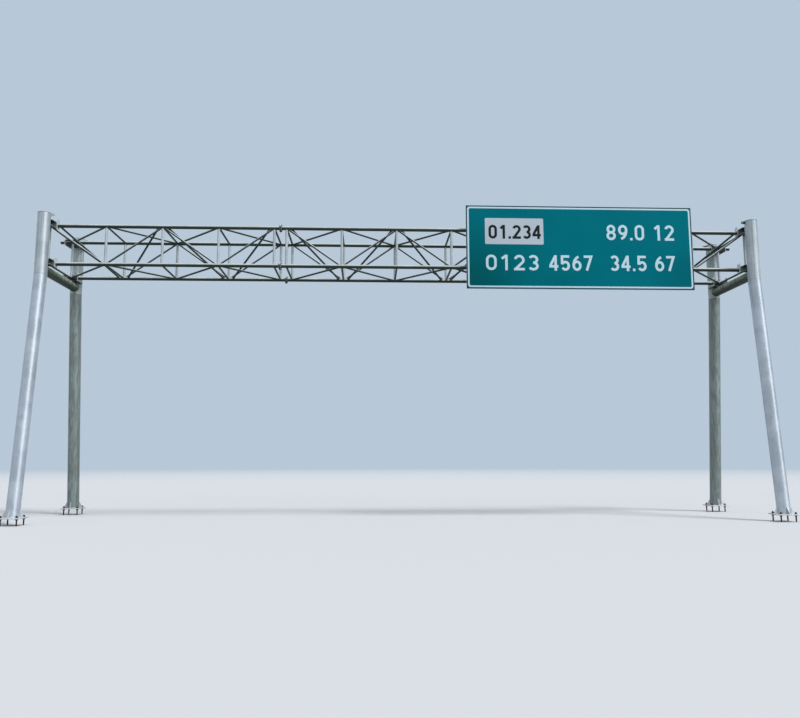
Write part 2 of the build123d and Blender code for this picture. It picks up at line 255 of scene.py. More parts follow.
def makeStreakGroup():
    # long marks that rain leaves down a surface; more cover lowers the level at which they show
    level = {"none": 0.72, "perCover": 0.4, "soft": 0.18}
    tree, given, result = startGroup(
        "rainStreaks", {"Width": 0.04, "Length": 1.4, "Cover": 0.4}, {"Mask": "Float"},
    )
    across, down = (calc(tree, "DIVIDE", 1.0, given[key]) for key in ("Width", "Length"))
    stretch = addNode(tree, "ShaderNodeCombineXYZ", {0: across, 1: across, 2: down}).outputs[0]
    squeezed = addNode(tree, "ShaderNodeVectorMath", {0: objectSpot(tree), 1: stretch}, operation="MULTIPLY")
    edge = calc(tree, "SUBTRACT", level["none"], times(tree, given["Cover"], level["perCover"]))
    marks = noise(tree, squeezed.outputs[0], 1.0, 3.0)
    feed(tree, result, {"Mask": remap(tree, marks, edge, plus(tree, edge, level["soft"]))})
    return tree


def makeEdgeGroup():
    # rubbed and bright along the chamfers, which the mesh marks as rim
    tree, given, result = startGroup("rubbedEdges", {"Breaks": 30.0}, {"Mask": "Float"})
    rim = addNode(tree, "ShaderNodeAttribute", attribute_name="rim").outputs["Fac"]
    broken = remap(tree, noise(tree, objectSpot(tree), given["Breaks"], 3.0), *rise["breaks"])
    feed(tree, result, {"Mask": times(tree, rim, broken)})
    return tree


def makeGrainGroup():
    # fine roughness of a dipped or rolled surface, with slow waves under it
    tree, given, result = startGroup(
        "fineGrain", {"Fine": 160.0, "Waves": 5.0, "Wave Share": 0.4}, {"Height": "Float", "Mask": "Float"},
    )
    spot = objectSpot(tree)
    fine, wave = noise(tree, spot, given["Fine"], 2.0), noise(tree, spot, given["Waves"], 2.0)
    height = addNode(tree, "ShaderNodeMix", {0: given["Wave Share"], 2: fine, 3: wave}).outputs[0]
    feed(tree, result, {"Height": height, "Mask": fine})
    return tree


spangleGroup = makeSpangleGroup()
facingGroup = makeFacingGroup()
streakGroup = makeStreakGroup()
edgeGroup = makeEdgeGroup()
grainGroup = makeGrainGroup()


def placeGroup(tree, group, inputs):
    return addNode(tree, "ShaderNodeGroup", inputs, node_tree=group).outputs


def layers(tree, base, look, masks):
    # each named colour lies over the last one by its mask and its share
    for name, mask in masks.items():
        base = mixColour(tree, times(tree, mask, look[name + "Share"]), base, (*look[name], 1))
    return base


def bumpOf(tree, look, height):
    sockets = {"Strength": look["relief"], "Distance": look["reliefDepth"], "Height": height}
    return addNode(tree, "ShaderNodeBump", sockets).outputs[0]


# finishes

zincLook = {
    "cells": 34.0, "mottle": 0.72, "light": (0.60, 0.63, 0.66), "dark": (0.46, 0.49, 0.52),
    "stain": (0.36, 0.37, 0.36), "stainShare": 0.55, "streaks": 0.4, "streakWidth": 0.035, "streakLength": 1.6,
    # under: painted shade, a darker colour on the faces that look down; dust: dust on the faces that look up
    "under": (0.10, 0.11, 0.10), "underFrom": -0.15, "underTo": -0.75, "underShare": 0.5, "ragged": 0.25,
    "dust": (0.66, 0.66, 0.62), "dustFrom": 0.25, "dustTo": 0.85, "dustShare": 0.35, "dustRough": 0.15,
    "bright": (0.72, 0.75, 0.78), "brightShare": 0.5, "rough": 0.36, "facetRough": 0.1,
    "metal": 0.6, "gloss": 0.5, "relief": 0.25, "reliefDepth": 0.002, "facetRelief": 0.15,
}


def zincFinish(name, changes):
    look = zincLook | changes
    material, tree, shader = startMaterial(name)
    spangle = placeGroup(tree, spangleGroup, {
        "Cells": look["cells"], "Mottle": look["mottle"],
        "Light": (*look["light"], 1), "Dark": (*look["dark"], 1),
    })
    streaks = placeGroup(tree, streakGroup, {
        "Width": look["streakWidth"], "Length": look["streakLength"], "Cover": look["streaks"],
    })["Mask"]
    # painted shade: the under layer darkens the faces that look down
    under = placeGroup(tree, facingGroup, {
        "Start": look["underFrom"], "End": look["underTo"], "Ragged": look["ragged"],
    })["Mask"]
    # dust on the faces that look up; in the truss tube finishes it is pale and also stands in for painted light
    # on their tops
    over = placeGroup(tree, facingGroup, {
        "Start": look["dustFrom"], "End": look["dustTo"], "Ragged": 2 * look["ragged"], "Scale": 9.0,
    })["Mask"]
    edges = placeGroup(tree, edgeGroup, {"Breaks": 30.0})["Mask"]
    grain = placeGroup(tree, grainGroup, {"Fine": 170.0, "Waves": 7.0, "Wave Share": 0.55})["Height"]
    # the metal gives way under the dust and under the painted shade
    dustAndShade = calc(tree, "MAXIMUM", times(tree, over, look["dustShare"]), times(tree, under, look["underShare"]))
    dull = plus(tree, times(tree, over, look["dustRough"]), look["rough"])
    relief = plus(tree, grain, times(tree, spangle["Mask"], look["facetRelief"]))
    feed(tree, shader.inputs, {
        "Base Color": layers(tree, spangle["Color"], look, {
            "stain": streaks, "under": under, "dust": over, "bright": edges,
        }),
        "Roughness": plus(tree, dull, times(tree, spangle["Mask"], look["facetRough"])),
        "Metallic": times(tree, inverse(tree, dustAndShade), look["metal"]),
        "Normal": bumpOf(tree, look, relief),
    })
    shader.inputs["Specular IOR Level"].default_value = look["gloss"]
    return material


legLower = zincFinish("legLowerZinc", {
    "light": (0.53, 0.57, 0.62), "dark": (0.38, 0.42, 0.46), "stain": (0.30, 0.32, 0.33), "rough": 0.40,
    "metal": 0.75, "streaks": 0.35,
})
legUpper = zincFinish("legUpperZinc", {
    "light": (0.49, 0.53, 0.55), "dark": (0.36, 0.40, 0.42), "stain": (0.25, 0.27, 0.27), "rough": 0.46,
    "metal": 0.72, "streaks": 0.5,
})
# painted shade: the rear legs take darker copies of the leg zinc, less dark above the bend
legShaded = zincFinish("legShadedZinc", {
    "light": (0.29, 0.35, 0.35), "dark": (0.21, 0.255, 0.25), "stain": (0.125, 0.130, 0.108), "streaks": 0.8,
    "rough": 0.5, "metal": 0.42, "gloss": 0.35,
})
shadedUpper = zincFinish("legShadedUpperZinc", {
    "light": (0.55, 0.62, 0.65), "dark": (0.37, 0.43, 0.45), "stain": (0.18, 0.20, 0.19), "streaks": 0.8,
    "rough": 0.5, "metal": 0.3, "gloss": 0.35,
})
# painted shade: the cross tubes, like the truss tubes and clamp plates below, turn almost black on the faces
# that look down
crossZinc = zincFinish("crossTubeZinc", {
    "light": (0.41, 0.49, 0.39), "dark": (0.14, 0.19, 0.13), "stain": (0.06, 0.085, 0.05), "streaks": 0.9,
    "under": (0.018, 0.032, 0.022), "underFrom": 0.2, "underTo": -0.55, "underShare": 0.95, "ragged": 0.5,
    "rough": 0.55, "metal": 0.2, "gloss": 0.25,
})
# chords, uprights, diagonals and bracing: painted shade, almost black, on the faces that look down, and pale
# dust on top that is partly painted light
chordZinc = zincFinish("chordTubeZinc", {
    "light": (0.42, 0.46, 0.45), "dark": (0.25, 0.29, 0.28), "under": (0.017, 0.029, 0.024), "underFrom": 0.36,
    "underTo": 0.0, "underShare": 0.97, "dust": (0.66, 0.70, 0.70), "dustShare": 0.4, "ragged": 0.08,
    "rough": 0.55, "metal": 0.2, "gloss": 0.2,
})
# painted light: the uprights take a lighter copy of the tube zinc than the chords
uprightZinc = zincFinish("uprightTubeZinc", {
    "light": (0.48, 0.53, 0.56), "dark": (0.31, 0.35, 0.37), "under": (0.03, 0.045, 0.038), "underFrom": 0.0,
    "underTo": -0.35, "underShare": 0.92, "dust": (0.66, 0.70, 0.70), "dustShare": 0.3, "ragged": 0.08,
    "rough": 0.5, "metal": 0.25, "gloss": 0.3,
})
diagonalZinc = zincFinish("diagonalTubeZinc", {
    "light": (0.41, 0.46, 0.48), "dark": (0.25, 0.29, 0.30), "under": (0.020, 0.032, 0.032), "underFrom": 0.42,
    "underTo": 0.02, "underShare": 0.95, "dust": (0.60, 0.65, 0.66), "dustShare": 0.3, "ragged": 0.08,
    "rough": 0.5, "metal": 0.25, "gloss": 0.25,
})
# painted shade: the bracing, and the right legs' lugs, take a darker copy of the tube zinc
braceShadedZinc = zincFinish("braceTubeShadedZinc", {
    "light": (0.30, 0.34, 0.33), "dark": (0.18, 0.21, 0.20), "under": (0.015, 0.026, 0.021), "underFrom": 0.45,
    "underTo": 0.05, "underShare": 0.95, "dust": (0.50, 0.54, 0.53), "dustShare": 0.4, "ragged": 0.08,
    "rough": 0.55, "metal": 0.2, "gloss": 0.2,
})
# painted shade: the clamp's seat plates and webs take a darker copy of the zinc than its cheeks, and almost
# black underneath
clampShadedZinc = zincFinish("clampPlateShadedZinc", {
    "light": (0.30, 0.33, 0.32), "dark": (0.17, 0.19, 0.18), "under": (0.02, 0.03, 0.024), "underFrom": 0.2,
    "underTo": -0.4, "underShare": 0.95, "rough": 0.55, "metal": 0.2, "gloss": 0.25,
})
cheekZinc = zincFinish("clampCheekZinc", {
    "light": (0.60, 0.64, 0.66), "dark": (0.46, 0.50, 0.52), "rough": 0.42, "metal": 0.35,
})
footZinc = zincFinish("footPlateZinc", {
    "light": (0.62, 0.66, 0.70), "dark": (0.50, 0.54, 0.57), "stain": (0.40, 0.36, 0.30), "streaks": 0.6,
    "dust": (0.60, 0.57, 0.50), "dustShare": 0.45, "rough": 0.42,
})
# painted shade: bolts and welds are darker on the faces that look down, the node welds almost black
boltZinc = zincFinish("boltZinc", {
    "cells": 90.0, "light": (0.30, 0.33, 0.35), "dark": (0.18, 0.20, 0.21), "rough": 0.42, "metal": 0.6,
    "under": (0.03, 0.04, 0.04), "underShare": 0.8, "dust": (0.40, 0.42, 0.42), "dustShare": 0.2,
})
weldZinc = zincFinish("weldBeadZinc", {
    "cells": 120.0, "light": (0.48, 0.50, 0.50), "dark": (0.34, 0.36, 0.36), "rough": 0.5, "underShare": 0.7,
})
nodeWeld = zincFinish("nodeWeldZinc", {
    "cells": 120.0, "light": (0.36, 0.40, 0.40), "dark": (0.24, 0.27, 0.27), "under": (0.020, 0.032, 0.030),
    "underFrom": 0.42, "underTo": 0.02, "underShare": 0.95, "rough": 0.55, "metal": 0.2, "gloss": 0.25,
})


def studFinish():
    look = {
        "steel": (0.016, 0.017, 0.019), "rust": (0.12, 0.045, 0.018), "rustShare": 0.6,
        "worn": (0.09, 0.09, 0.09), "wornShare": 0.6, "dust": (0.22, 0.20, 0.17), "dustShare": 0.45,
        "rough": (0.42, 0.8), "metal": (0.55, 0.05), "relief": 0.35, "reliefDepth": 0.001,
    }
    material, tree, shader = startMaterial("anchorBlackSteel")
    grain = placeGroup(tree, grainGroup, {"Fine": 260.0, "Waves": 22.0, "Wave Share": 0.5})["Height"]
    edges = placeGroup(tree, edgeGroup, {"Breaks": 60.0})["Mask"]
    over = placeGroup(tree, facingGroup, {"Start": 0.4, "End": 0.95, "Ragged": 0.5, "Scale": 30.0})["Mask"]
    streaks = placeGroup(tree, streakGroup, {"Width": 0.012, "Length": 0.1, "Cover": 0.55})["Mask"]
    feed(tree, shader.inputs, {
        "Base Color": layers(tree, (*look["steel"], 1), look, {"rust": streaks, "worn": edges, "dust": over}),
        "Roughness": remap(tree, streaks, 0.0, 1.0, *look["rough"]),
        "Metallic": remap(tree, streaks, 0.0, 1.0, *look["metal"]),
        "Normal": bumpOf(tree, look, grain),
    })
    return material


def aluminiumFinish():
    look = {
        "light": (0.66, 0.68, 0.70), "lightShare": 0.4, "dark": (0.50, 0.52, 0.54), "stain": (0.40, 0.41, 0.41),
        "stainShare": 0.4, "under": (0.012, 0.028, 0.030), "underShare": 0.95, "rolling": (1.5, 60.0, 240.0),
        "rough": (0.3, 0.44), "roughLevels": (0.2, 0.8), "metal": (0.8, 0.5),
        "relief": 0.12, "reliefDepth": 0.0006,
    }
    material, tree, shader = startMaterial("signAluminium")
    stretch = addNode(tree, "ShaderNodeMapping", {"Vector": objectSpot(tree), "Scale": look["rolling"]})
    rolled = noise(tree, stretch.outputs[0], 1.0, 3.0)
    streaks = placeGroup(tree, streakGroup, {"Width": 0.05, "Length": 1.1, "Cover": 0.5})["Mask"]
    edges = placeGroup(tree, edgeGroup, {"Breaks": 25.0})["Mask"]
    # painted shade: almost black on the faces that look down, such as the frame's and ribs' undersides
    under = placeGroup(tree, facingGroup, {"Start": -0.3, "End": -0.8, "Ragged": 0.1})["Mask"]
    base = mixColour(tree, remap(tree, rolled, *rise["rolled"]), (*look["dark"], 1), (*look["light"], 1))
    unshaded = inverse(tree, times(tree, under, look["underShare"]))
    feed(tree, shader.inputs, {
        "Base Color": layers(tree, base, look, {"stain": streaks, "light": edges, "under": under}),
        "Roughness": remap(tree, rolled, *look["roughLevels"], *look["rough"]),
        "Metallic": times(tree, remap(tree, streaks, 0.0, 1.0, *look["metal"]), unshaded),
        "Normal": bumpOf(tree, look, rolled),
    })
    return material


sheetingLook = {
    "cells": 210.0, "cellRandom": 0.15, "wall": (0.02, 0.09), "lineShare": 0.12, "dustShare": 0.10,
    "patchScale": 0.3, "patchLevels": (0.33, 0.66), "patchLeast": 0.6,
    # painted sheen: the spans of x and z over which the darkening at the lower left corner fades out
    "cornerX": (1.9, 4.8), "cornerZ": (6.6, 9.8), "roughSpread": 0.08,
    "wallRelief": 0.1, "relief": 0.12, "reliefDepth": 0.002,
}


def sheetingFinish(name, changes):
    # reflective film with small sealed cells; it fades in patches, and a painted sheen leaves it darkest at the
    # lower left corner and lighter towards the right and the top
    look = sheetingLook | changes
    material, tree, shader = startMaterial(name)
    spot = objectSpot(tree)
    cells = addNode(tree, "ShaderNodeTexVoronoi", {
        "Vector": spot, "Scale": look["cells"], "Randomness": look["cellRandom"],
    }, feature="DISTANCE_TO_EDGE")
    wall = remap(tree, cells.outputs["Distance"], *look["wall"])
    slow = noise(tree, spot, look["patchScale"], 2.0)
    streaks = placeGroup(tree, streakGroup, {"Width": 0.06, "Length": 1.8, "Cover": 0.35})["Mask"]
    grain = placeGroup(tree, grainGroup, {"Fine": 90.0, "Waves": 2.2, "Wave Share": 0.75})
    place = addNode(tree, "ShaderNodeSeparateXYZ", {0: spot}).outputs
    # painted sheen: darker towards the sign's lower left corner, together with the fading patches
    nearX, nearZ = (remap(tree, place[key], *look["corner" + key], 1.0, 0.0) for key in ("X", "Z"))
    patchy = remap(tree, slow, *look["patchLevels"], look["patchLeast"], 1.0)
    clear = times(tree, patchy, inverse(tree, times(tree, nearX, nearZ)))
    fadedAndSheen = mixColour(tree, clear, (*look["deep"], 1), (*look["open"], 1))
    relief = plus(tree, times(tree, wall, look["wallRelief"]), grain["Height"])
    dull = look["rough"] + look["roughSpread"]
    feed(tree, shader.inputs, {
        "Base Color": layers(tree, fadedAndSheen, look, {"line": inverse(tree, wall), "dust": streaks}),
        "Roughness": remap(tree, grain["Mask"], *rise["grain"], look["rough"], dull),
        "Normal": bumpOf(tree, look, relief),
    })
    shader.inputs["Specular IOR Level"].default_value = look["gloss"]
    return material


anchorBlack = studFinish()
millAluminium = aluminiumFinish()
tealSheeting = sheetingFinish("tealSheeting", {
    "deep": (0.0, 0.078, 0.090), "open": (0.0, 0.152, 0.196), "line": (0.0, 0.17, 0.20),
    "dust": (0.0, 0.13, 0.14), "rough": 0.45, "gloss": 0.02,
})
whiteSheeting = sheetingFinish("whiteSheeting", {
    "deep": (0.44, 0.59, 0.66), "open": (0.51, 0.67, 0.75), "line": (0.42, 0.55, 0.61),
    "dust": (0.42, 0.50, 0.52), "rough": 0.4, "gloss": 0.25,
})
edgeSheeting = sheetingFinish("edgeSheeting", {
    "deep": (0.010, 0.045, 0.055), "open": (0.018, 0.065, 0.080), "line": (0.02, 0.07, 0.08),
    "dust": (0.08, 0.11, 0.11), "rough": 0.45, "gloss": 0.12,
})
patchSheeting = sheetingFinish("patchSheeting", {
    "deep": (0.36, 0.42, 0.48), "open": (0.45, 0.52, 0.60), "line": (0.36, 0.42, 0.47),
    "dust": (0.36, 0.40, 0.42), "rough": 0.42, "gloss": 0.25,
})
blackFilm = sheetingFinish("blackFilm", {
    "deep": (0.008, 0.012, 0.013), "open": (0.014, 0.020, 0.022), "line": (0.018, 0.022, 0.024),
    "dust": (0.025, 0.03, 0.03), "rough": 0.5, "gloss": 0.05,
})
print("finishes ready")

# mesh helpers

meshing = {"rimFrom": 0.15, "rimTo": 0.95, "sharpTurn": 38, "weldDistance": 1e-6}


def bakeObject(holder):
    # the evaluated result as a plain mesh; the object and its modifiers go
    bpy.context.view_layer.update()
    graph = bpy.context.evaluated_depsgraph_get()
    shaped = holder.evaluated_get(graph)
    mesh = bpy.data.meshes.new_from_object(shaped, preserve_all_data_layers=True, depsgraph=graph)
    bpy.data.objects.remove(holder)
    return mesh


def bakeTree(mesh, tree, values):
    holder = linked("shaping", mesh)
    modifier = holder.modifiers.new("shaping", "NODES")
    modifier.node_group = tree
    for item in tree.interface.items_tree:
        if item.item_type == "SOCKET" and item.in_out == "INPUT" and item.name in values:
            modifier[item.identifier] = values[item.name]
    return bakeObject(holder)


def thickened(mesh, wall):
    # gives an open skin its wall, inwards
    holder = linked("shell", mesh)
    modifier = holder.modifiers.new("wall", "SOLIDIFY")
    modifier.thickness = wall
    modifier.offset = -1
    modifier.use_even_offset = True
    return bakeObject(holder)


def markRims(mesh):
    # chamfers, the faces that neither lie flat nor stand square to local z
    slants = [float(meshing["rimFrom"] < abs(face.normal.z) < meshing["rimTo"]) for face in mesh.polygons]
    mesh.attributes.new("rim", "FLOAT", "FACE").data.foreach_set("value", slants)


def newMesh(verts, faces, *materials):
    mesh = bpy.data.meshes.new("part")
    mesh.from_pydata(verts, [], faces)
    for material in materials:
        mesh.materials.append(material)
    return mesh


def axes(origin, xDir, zDir):
    # local x and z point these ways in the world, local y follows
    xDir, zDir = Vector(xDir).normalized(), Vector(zDir).normalized()
    return Matrix.Translation(origin) @ Matrix((xDir, zDir.cross(xDir), zDir)).transposed().to_4x4()


def fullTurn(count, first=0.0):
    return [first + 2 * math.pi * step / count for step in range(count)]


def circle(centreX, centreY, radius, sides=24):
    return [(centreX + radius * math.cos(a), centreY + radius * math.sin(a)) for a in fullTurn(sides)]


def roundedRect(width, height, radius, steps=4):
    points = []
    for signX, signY, first in ((1, 1, 0), (-1, 1, 90), (-1, -1, 180), (1, -1, 270)):
        centreX, centreY = signX * (width / 2 - radius), signY * (height / 2 - radius)
        for step in range(steps + 1):
            angle = math.radians(first + 90 * step / steps)
            points.append((centreX + radius * math.cos(angle), centreY + radius * math.sin(angle)))
    return points


def quadRows(rows, sides):
    # quads between rows of points that each go once round
    faces = []
    for low in range(0, (rows - 1) * sides, sides):
        for step in range(sides):
            after = (step + 1) % sides
            faces.append((low + step, low + after, low + sides + after, low + sides + step))
    return faces


def lathe(rings, sides, material):
    # closed turned solid about z; each ring is a radius and a height, from the bottom up
    verts = [(*spot, height) for radius, height in rings for spot in circle(0, 0, radius, sides)]
    last = (len(rings) - 1) * sides
    caps = tuple(range(sides))[::-1], tuple(range(last, last + sides))
    mesh = newMesh(verts, [caps[0], *quadRows(len(rings), sides), caps[1]], material)
    if len(rings) == 4:
        markRims(mesh)
    return mesh


def skinRings(rings, materialOfRow=None, materials=()):
    # open skin through rings of points, one row of quads between each pair
    sides = len(rings[0])
    mesh = newMesh([point for ring in rings for point in ring], quadRows(len(rings), sides), *materials)
    if materialOfRow:
        for face in mesh.polygons:
            face.material_index = materialOfRow[face.index // sides]
    return mesh


def plate(outline, holes, thickness, bevel, place, material):
    # flat curve with a chamfered edge, filled, made a mesh before it is put in place
    curve = bpy.data.curves.new("plate", "CURVE")
    curve.dimensions = "2D"
    curve.fill_mode = "BOTH"
    curve.extrude = thickness / 2 - bevel
    curve.bevel_depth = bevel
    curve.bevel_resolution = 0
    curve.offset = -bevel
    for loop in (outline, *holes):
        spline = curve.splines.new("POLY")
        spline.points.add(len(loop) - 1)
        for point, spot in zip(spline.points, loop):
            point.co = (spot[0], spot[1], 0, 1)
        spline.use_cyclic_u = True
    mesh = bakeObject(linked("plate", curve))
    bpy.data.curves.remove(curve)
    work = bmesh.new()
    work.from_mesh(mesh)
    bmesh.ops.remove_doubles(work, verts=work.verts, dist=meshing["weldDistance"])
    bmesh.ops.recalc_face_normals(work, faces=work.faces)
    work.to_mesh(mesh)
    work.free()
    mesh.materials.clear()
    mesh.materials.append(material)
    markRims(mesh)
    mesh.transform(place)
    return mesh


def joined(name, meshes):
    materials = []
    work = bmesh.new()
    for mesh in meshes:
        if "rim" not in mesh.attributes:
            mesh.attributes.new("rim", "FLOAT", "FACE")
        before = len(work.faces)
        work.from_mesh(mesh)
        work.faces.ensure_lookup_table()
        for face in work.faces[before:]:
            material = mesh.materials[face.material_index]
            if material not in materials:
                materials.append(material)
            face.material_index = materials.index(material)
    result = bpy.data.meshes.new(name)
    work.to_mesh(result)
    work.free()
    for material in materials:
        result.materials.append(material)
    return result


def finishPiece(name, meshes, slot, *replaced):
    mesh = joined(name, meshes)
    for attribute in list(mesh.attributes):
        if attribute.name in ("tubeRadius", "aim"):
            mesh.attributes.remove(attribute)
    mesh.shade_smooth()
    mesh.set_sharp_from_angle(angle=math.radians(meshing["sharpTurn"]))
    piece = linked(name, mesh)
    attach(piece, "root")
    if replaced:
        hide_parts(*replaced)


# geometry node trees


def startTree(name, inputs):
    tree = bpy.data.node_groups.new(name, "GeometryNodeTree")
    addSockets(tree, "INPUT", {"Geometry": "Geometry"} | inputs | {"Material": "Material"})
    addSockets(tree, "OUTPUT", {"Geometry": "Geometry"})
    return tree, tree.nodes.new("NodeGroupInput").outputs


def endTree(tree, geometry, material):
    real = addNode(tree, "GeometryNodeRealizeInstances", {"Geometry": geometry}).outputs[0]
    painted = addNode(tree, "GeometryNodeSetMaterial", {"Geometry": real, "Material": material}).outputs[0]
    tree.links.new(painted, tree.nodes.new("NodeGroupOutput").inputs[0])
    return tree


def attributeOf(tree, name, kind):
    return addNode(tree, "GeometryNodeInputNamedAttribute", {"Name": name}, data_type=kind).outputs[0]


def fixingsOn(tree, points, fixing, turn=(0, 0, 0)):
    shape = addNode(tree, "GeometryNodeObjectInfo", {"Object": fixing, "As Instance": True}).outputs["Geometry"]
    sockets = {"Points": points, "Instance": shape, "Rotation": turn}
    return addNode(tree, "GeometryNodeInstanceOnPoints", sockets).outputs[0]


def turnedBy(tree, geometry, turn, shift=(0, 0, 0)):
    # instances are made real first, so that the whole group turns as one
    real = addNode(tree, "GeometryNodeRealizeInstances", {"Geometry": geometry}).outputs[0]
    sockets = {"Geometry": real, "Translation": shift, "Rotation": turn}
    return addNode(tree, "GeometryNodeTransform", sockets).outputs[0]


def makeTubeTree():
    # a round rod or tube along every path; the radius comes with the points, and ripple makes it a weld bead
    tree, given = startTree("tubesAlongPaths", {
        "Sides": 16, "Caps": True, "Ripple": 0.0, "Ripple Scale": 90.0, "Seed": 3.0,
    })
    paths = addNode(tree, "GeometryNodeMeshToCurve", {"Mesh": given["Geometry"]}).outputs[0]
    radius = attributeOf(tree, "tubeRadius", "FLOAT")
    spot = addNode(tree, "GeometryNodeInputPosition").outputs[0]
    waves = addNode(tree, "ShaderNodeTexNoise", {
        "Vector": spot, "W": given["Seed"], "Scale": given["Ripple Scale"], "Detail": 1.0,
    }, noise_dimensions="4D").outputs["Fac"]
    swell = times(tree, calc(tree, "SUBTRACT", waves, 0.5), given["Ripple"])
    size = times(tree, radius, plus(tree, swell, 1.0))
    profile = addNode(tree, "GeometryNodeCurvePrimitiveCircle", {"Resolution": given["Sides"], "Radius": 1.0})
    skin = addNode(tree, "GeometryNodeCurveToMesh", {
        "Curve": paths, "Profile Curve": profile.outputs[0], "Scale": size, "Fill Caps": given["Caps"],
    })
    return endTree(tree, skin.outputs[0], given["Material"])


def makeRingTree():
    # a ring of fixings round every point, such as bolts round a flange
    tree, given = startTree("ringOfFixings", {
        "Count": 8, "Ring Radius": 0.1, "Tilt": (0, 0, 0), "Start Turn": 0.0, "Fixing": "Object",
    })
    ring = addNode(tree, "GeometryNodeMeshCircle", {"Vertices": given["Count"], "Radius": given["Ring Radius"]})
    turn = addNode(tree, "ShaderNodeCombineXYZ", {2: given["Start Turn"]}).outputs[0]
    fixings = fixingsOn(tree, turnedBy(tree, ring.outputs[0], turn), given["Fixing"])
    tilted = turnedBy(tree, fixings, given["Tilt"])
    rings = addNode(tree, "GeometryNodeInstanceOnPoints", {"Points": given["Geometry"], "Instance": tilted})
    return endTree(tree, rings.outputs[0], given["Material"])


def makeFixingTree():
    # one fixing on every point, its own z axis along the point's aim
    tree, given = startTree("fixingsOnPoints", {"Fixing": "Object"})
    aim = attributeOf(tree, "aim", "FLOAT_VECTOR")
    turn = addNode(tree, "FunctionNodeAlignRotationToVector", {"Vector": aim}, axis="Z").outputs[0]
    return endTree(tree, fixingsOn(tree, given["Geometry"], given["Fixing"], turn), given["Material"])


def makeRowTree():
    # fixings in rows over an upright board, centred where the board is
    tree, given = startTree("rowsOfRivets", {
        "Width": 6.0, "Height": 2.0, "Columns": 20, "Rows": 3, "Centre": (0, 0, 0), "Fixing": "Object",
    })
    grid = addNode(tree, "GeometryNodeMeshGrid", {
        "Size X": given["Width"], "Size Y": given["Height"],
        "Vertices X": given["Columns"], "Vertices Y": given["Rows"],
    })
    fixings = fixingsOn(tree, grid.outputs[0], given["Fixing"])
    return endTree(tree, turnedBy(tree, fixings, (math.pi / 2, 0, 0), given["Centre"]), given["Material"])


tubeTree = makeTubeTree()
ringTree = makeRingTree()
fixingTree = makeFixingTree()
rowTree = makeRowTree()


def pathMesh(paths):
    # each path is its points, one radius or a radius for each point, and whether it closes
    verts, edges, radii = [], [], []
    for points, radius, closes in paths:
        first = len(verts)
        verts.extend(points)
        radii.extend(radius if isinstance(radius, list) else [radius] * len(points))
        edges.extend((first + step, first + step + 1) for step in range(len(points) - 1))
        if closes:
            edges.append((first + len(points) - 1, first))
    mesh = bpy.data.meshes.new("paths")
    mesh.from_pydata(verts, edges, [])
    mesh.attributes.new("tubeRadius", "FLOAT", "POINT").data.foreach_set("value", radii)
    return mesh


def tubes(paths, sides, material, caps=True):
    return bakeTree(pathMesh(paths), tubeTree, {"Sides": sides, "Caps": caps, "Material": material})


bead = {"Sides": 5, "Ripple": 0.7, "Ripple Scale": 140.0}


def beads(paths, material=weldZinc):
    return bakeTree(pathMesh(paths), tubeTree, bead | {"Material": material})


def straightBead(start, finish, steps, radius):
    # cut into steps, so that its ripple shows
    return ([start.lerp(finish, step / steps) for step in range(steps + 1)], radius, False)


def pointMesh(points, aim=None):
    mesh = bpy.data.meshes.new("points")
    mesh.from_pydata(points, [], [])
    if aim:
        mesh.attributes.new("aim", "FLOAT_VECTOR", "POINT").data.foreach_set("vector", aim * len(points))
    return mesh


def scattered(shapes, points, tree, material, values):
    # a fixing turned from its rings and sides, which the tree sets on the points
    fixing = linked("fixing", joined("fixing", [lathe(rings, sides, material) for rings, sides in shapes]))
    mesh = bakeTree(points, tree, values | {"Fixing": fixing, "Material": material})
    bpy.data.objects.remove(fixing)
    return mesh


def discRings(radius, low, high, soft):
    return [(radius - soft, low), (radius, low + soft), (radius, high - soft), (radius - soft, high)]


hexChamfer = {"across": 0.93, "along": 0.12}


def hexRings(width, low, high):
    # chamfered nut or head; the rings are for a lathe of six sides
    radius = width / 2 / math.cos(math.pi / 6)
    soft, small = (high - low) * hexChamfer["along"], radius * hexChamfer["across"]
    return [(small, low), (radius, low + soft), (radius, high - soft), (small, high)]


def threadRings(radius, low, high, pitch, depth):
    # crests and roots one half pitch apart
    count = max(2, round((high - low) / pitch))
    step = (high - low) / count
    rings = []
    for turn in range(count):
        rings += [(radius - depth, low + turn * step), (radius, low + (turn + 0.5) * step)]
    return rings + [(radius - depth, high)]


print("trees ready")

# truss

truss = {
    "bay": 1.65, "bays": 4, "high": 8.6, "low": 7.44, "halfDepth": 0.869,
    "chordRadius": 0.05715, "chordWall": 0.0063, "uprightRadius": 0.03805, "braceRadius": 0.03015,
    "innerSetback": 0.12, "legSetback": 0.27, "leftStub": 0.183, "rightStub": 0.391, "overrun": 0.375,
    "flangeRadius": 0.122, "flangeThick": 0.02, "flangeSoft": 0.002, "flangeSides": 48,
    "flangeBeadOut": 0.003, "flangeBeadPoints": 28,
    "chordSides": 32, "barSides": 18, "beadRadius": 0.006, "beadPoints": 18, "intoChord": 0.04,
}
runLength = truss["bays"] * truss["bay"]
leftStart = -(3 * runLength + 2 * truss["leftStub"] + 2 * truss["rightStub"]) / 2
middleStart = leftStart + runLength + 2 * truss["leftStub"]
rightStart = middleStart + runLength + 2 * truss["rightStub"]
# first node, chord before it, chord past the last node, and whether a flange is at either end
segments = {
    "left": (leftStart, truss["overrun"], truss["leftStub"], False, True),
    "middle": (middleStart, truss["leftStub"], truss["rightStub"], True, True),
    "right": (rightStart, truss["rightStub"], truss["overrun"], True, False),
}
sides = {"front": -1, "rear": 1}
ends = {"left": leftStart, "right": -leftStart}
corners = [(face, end, x, side) for end, x in ends.items() for face, side in sides.items()]
levels = (truss["high"], truss["low"])


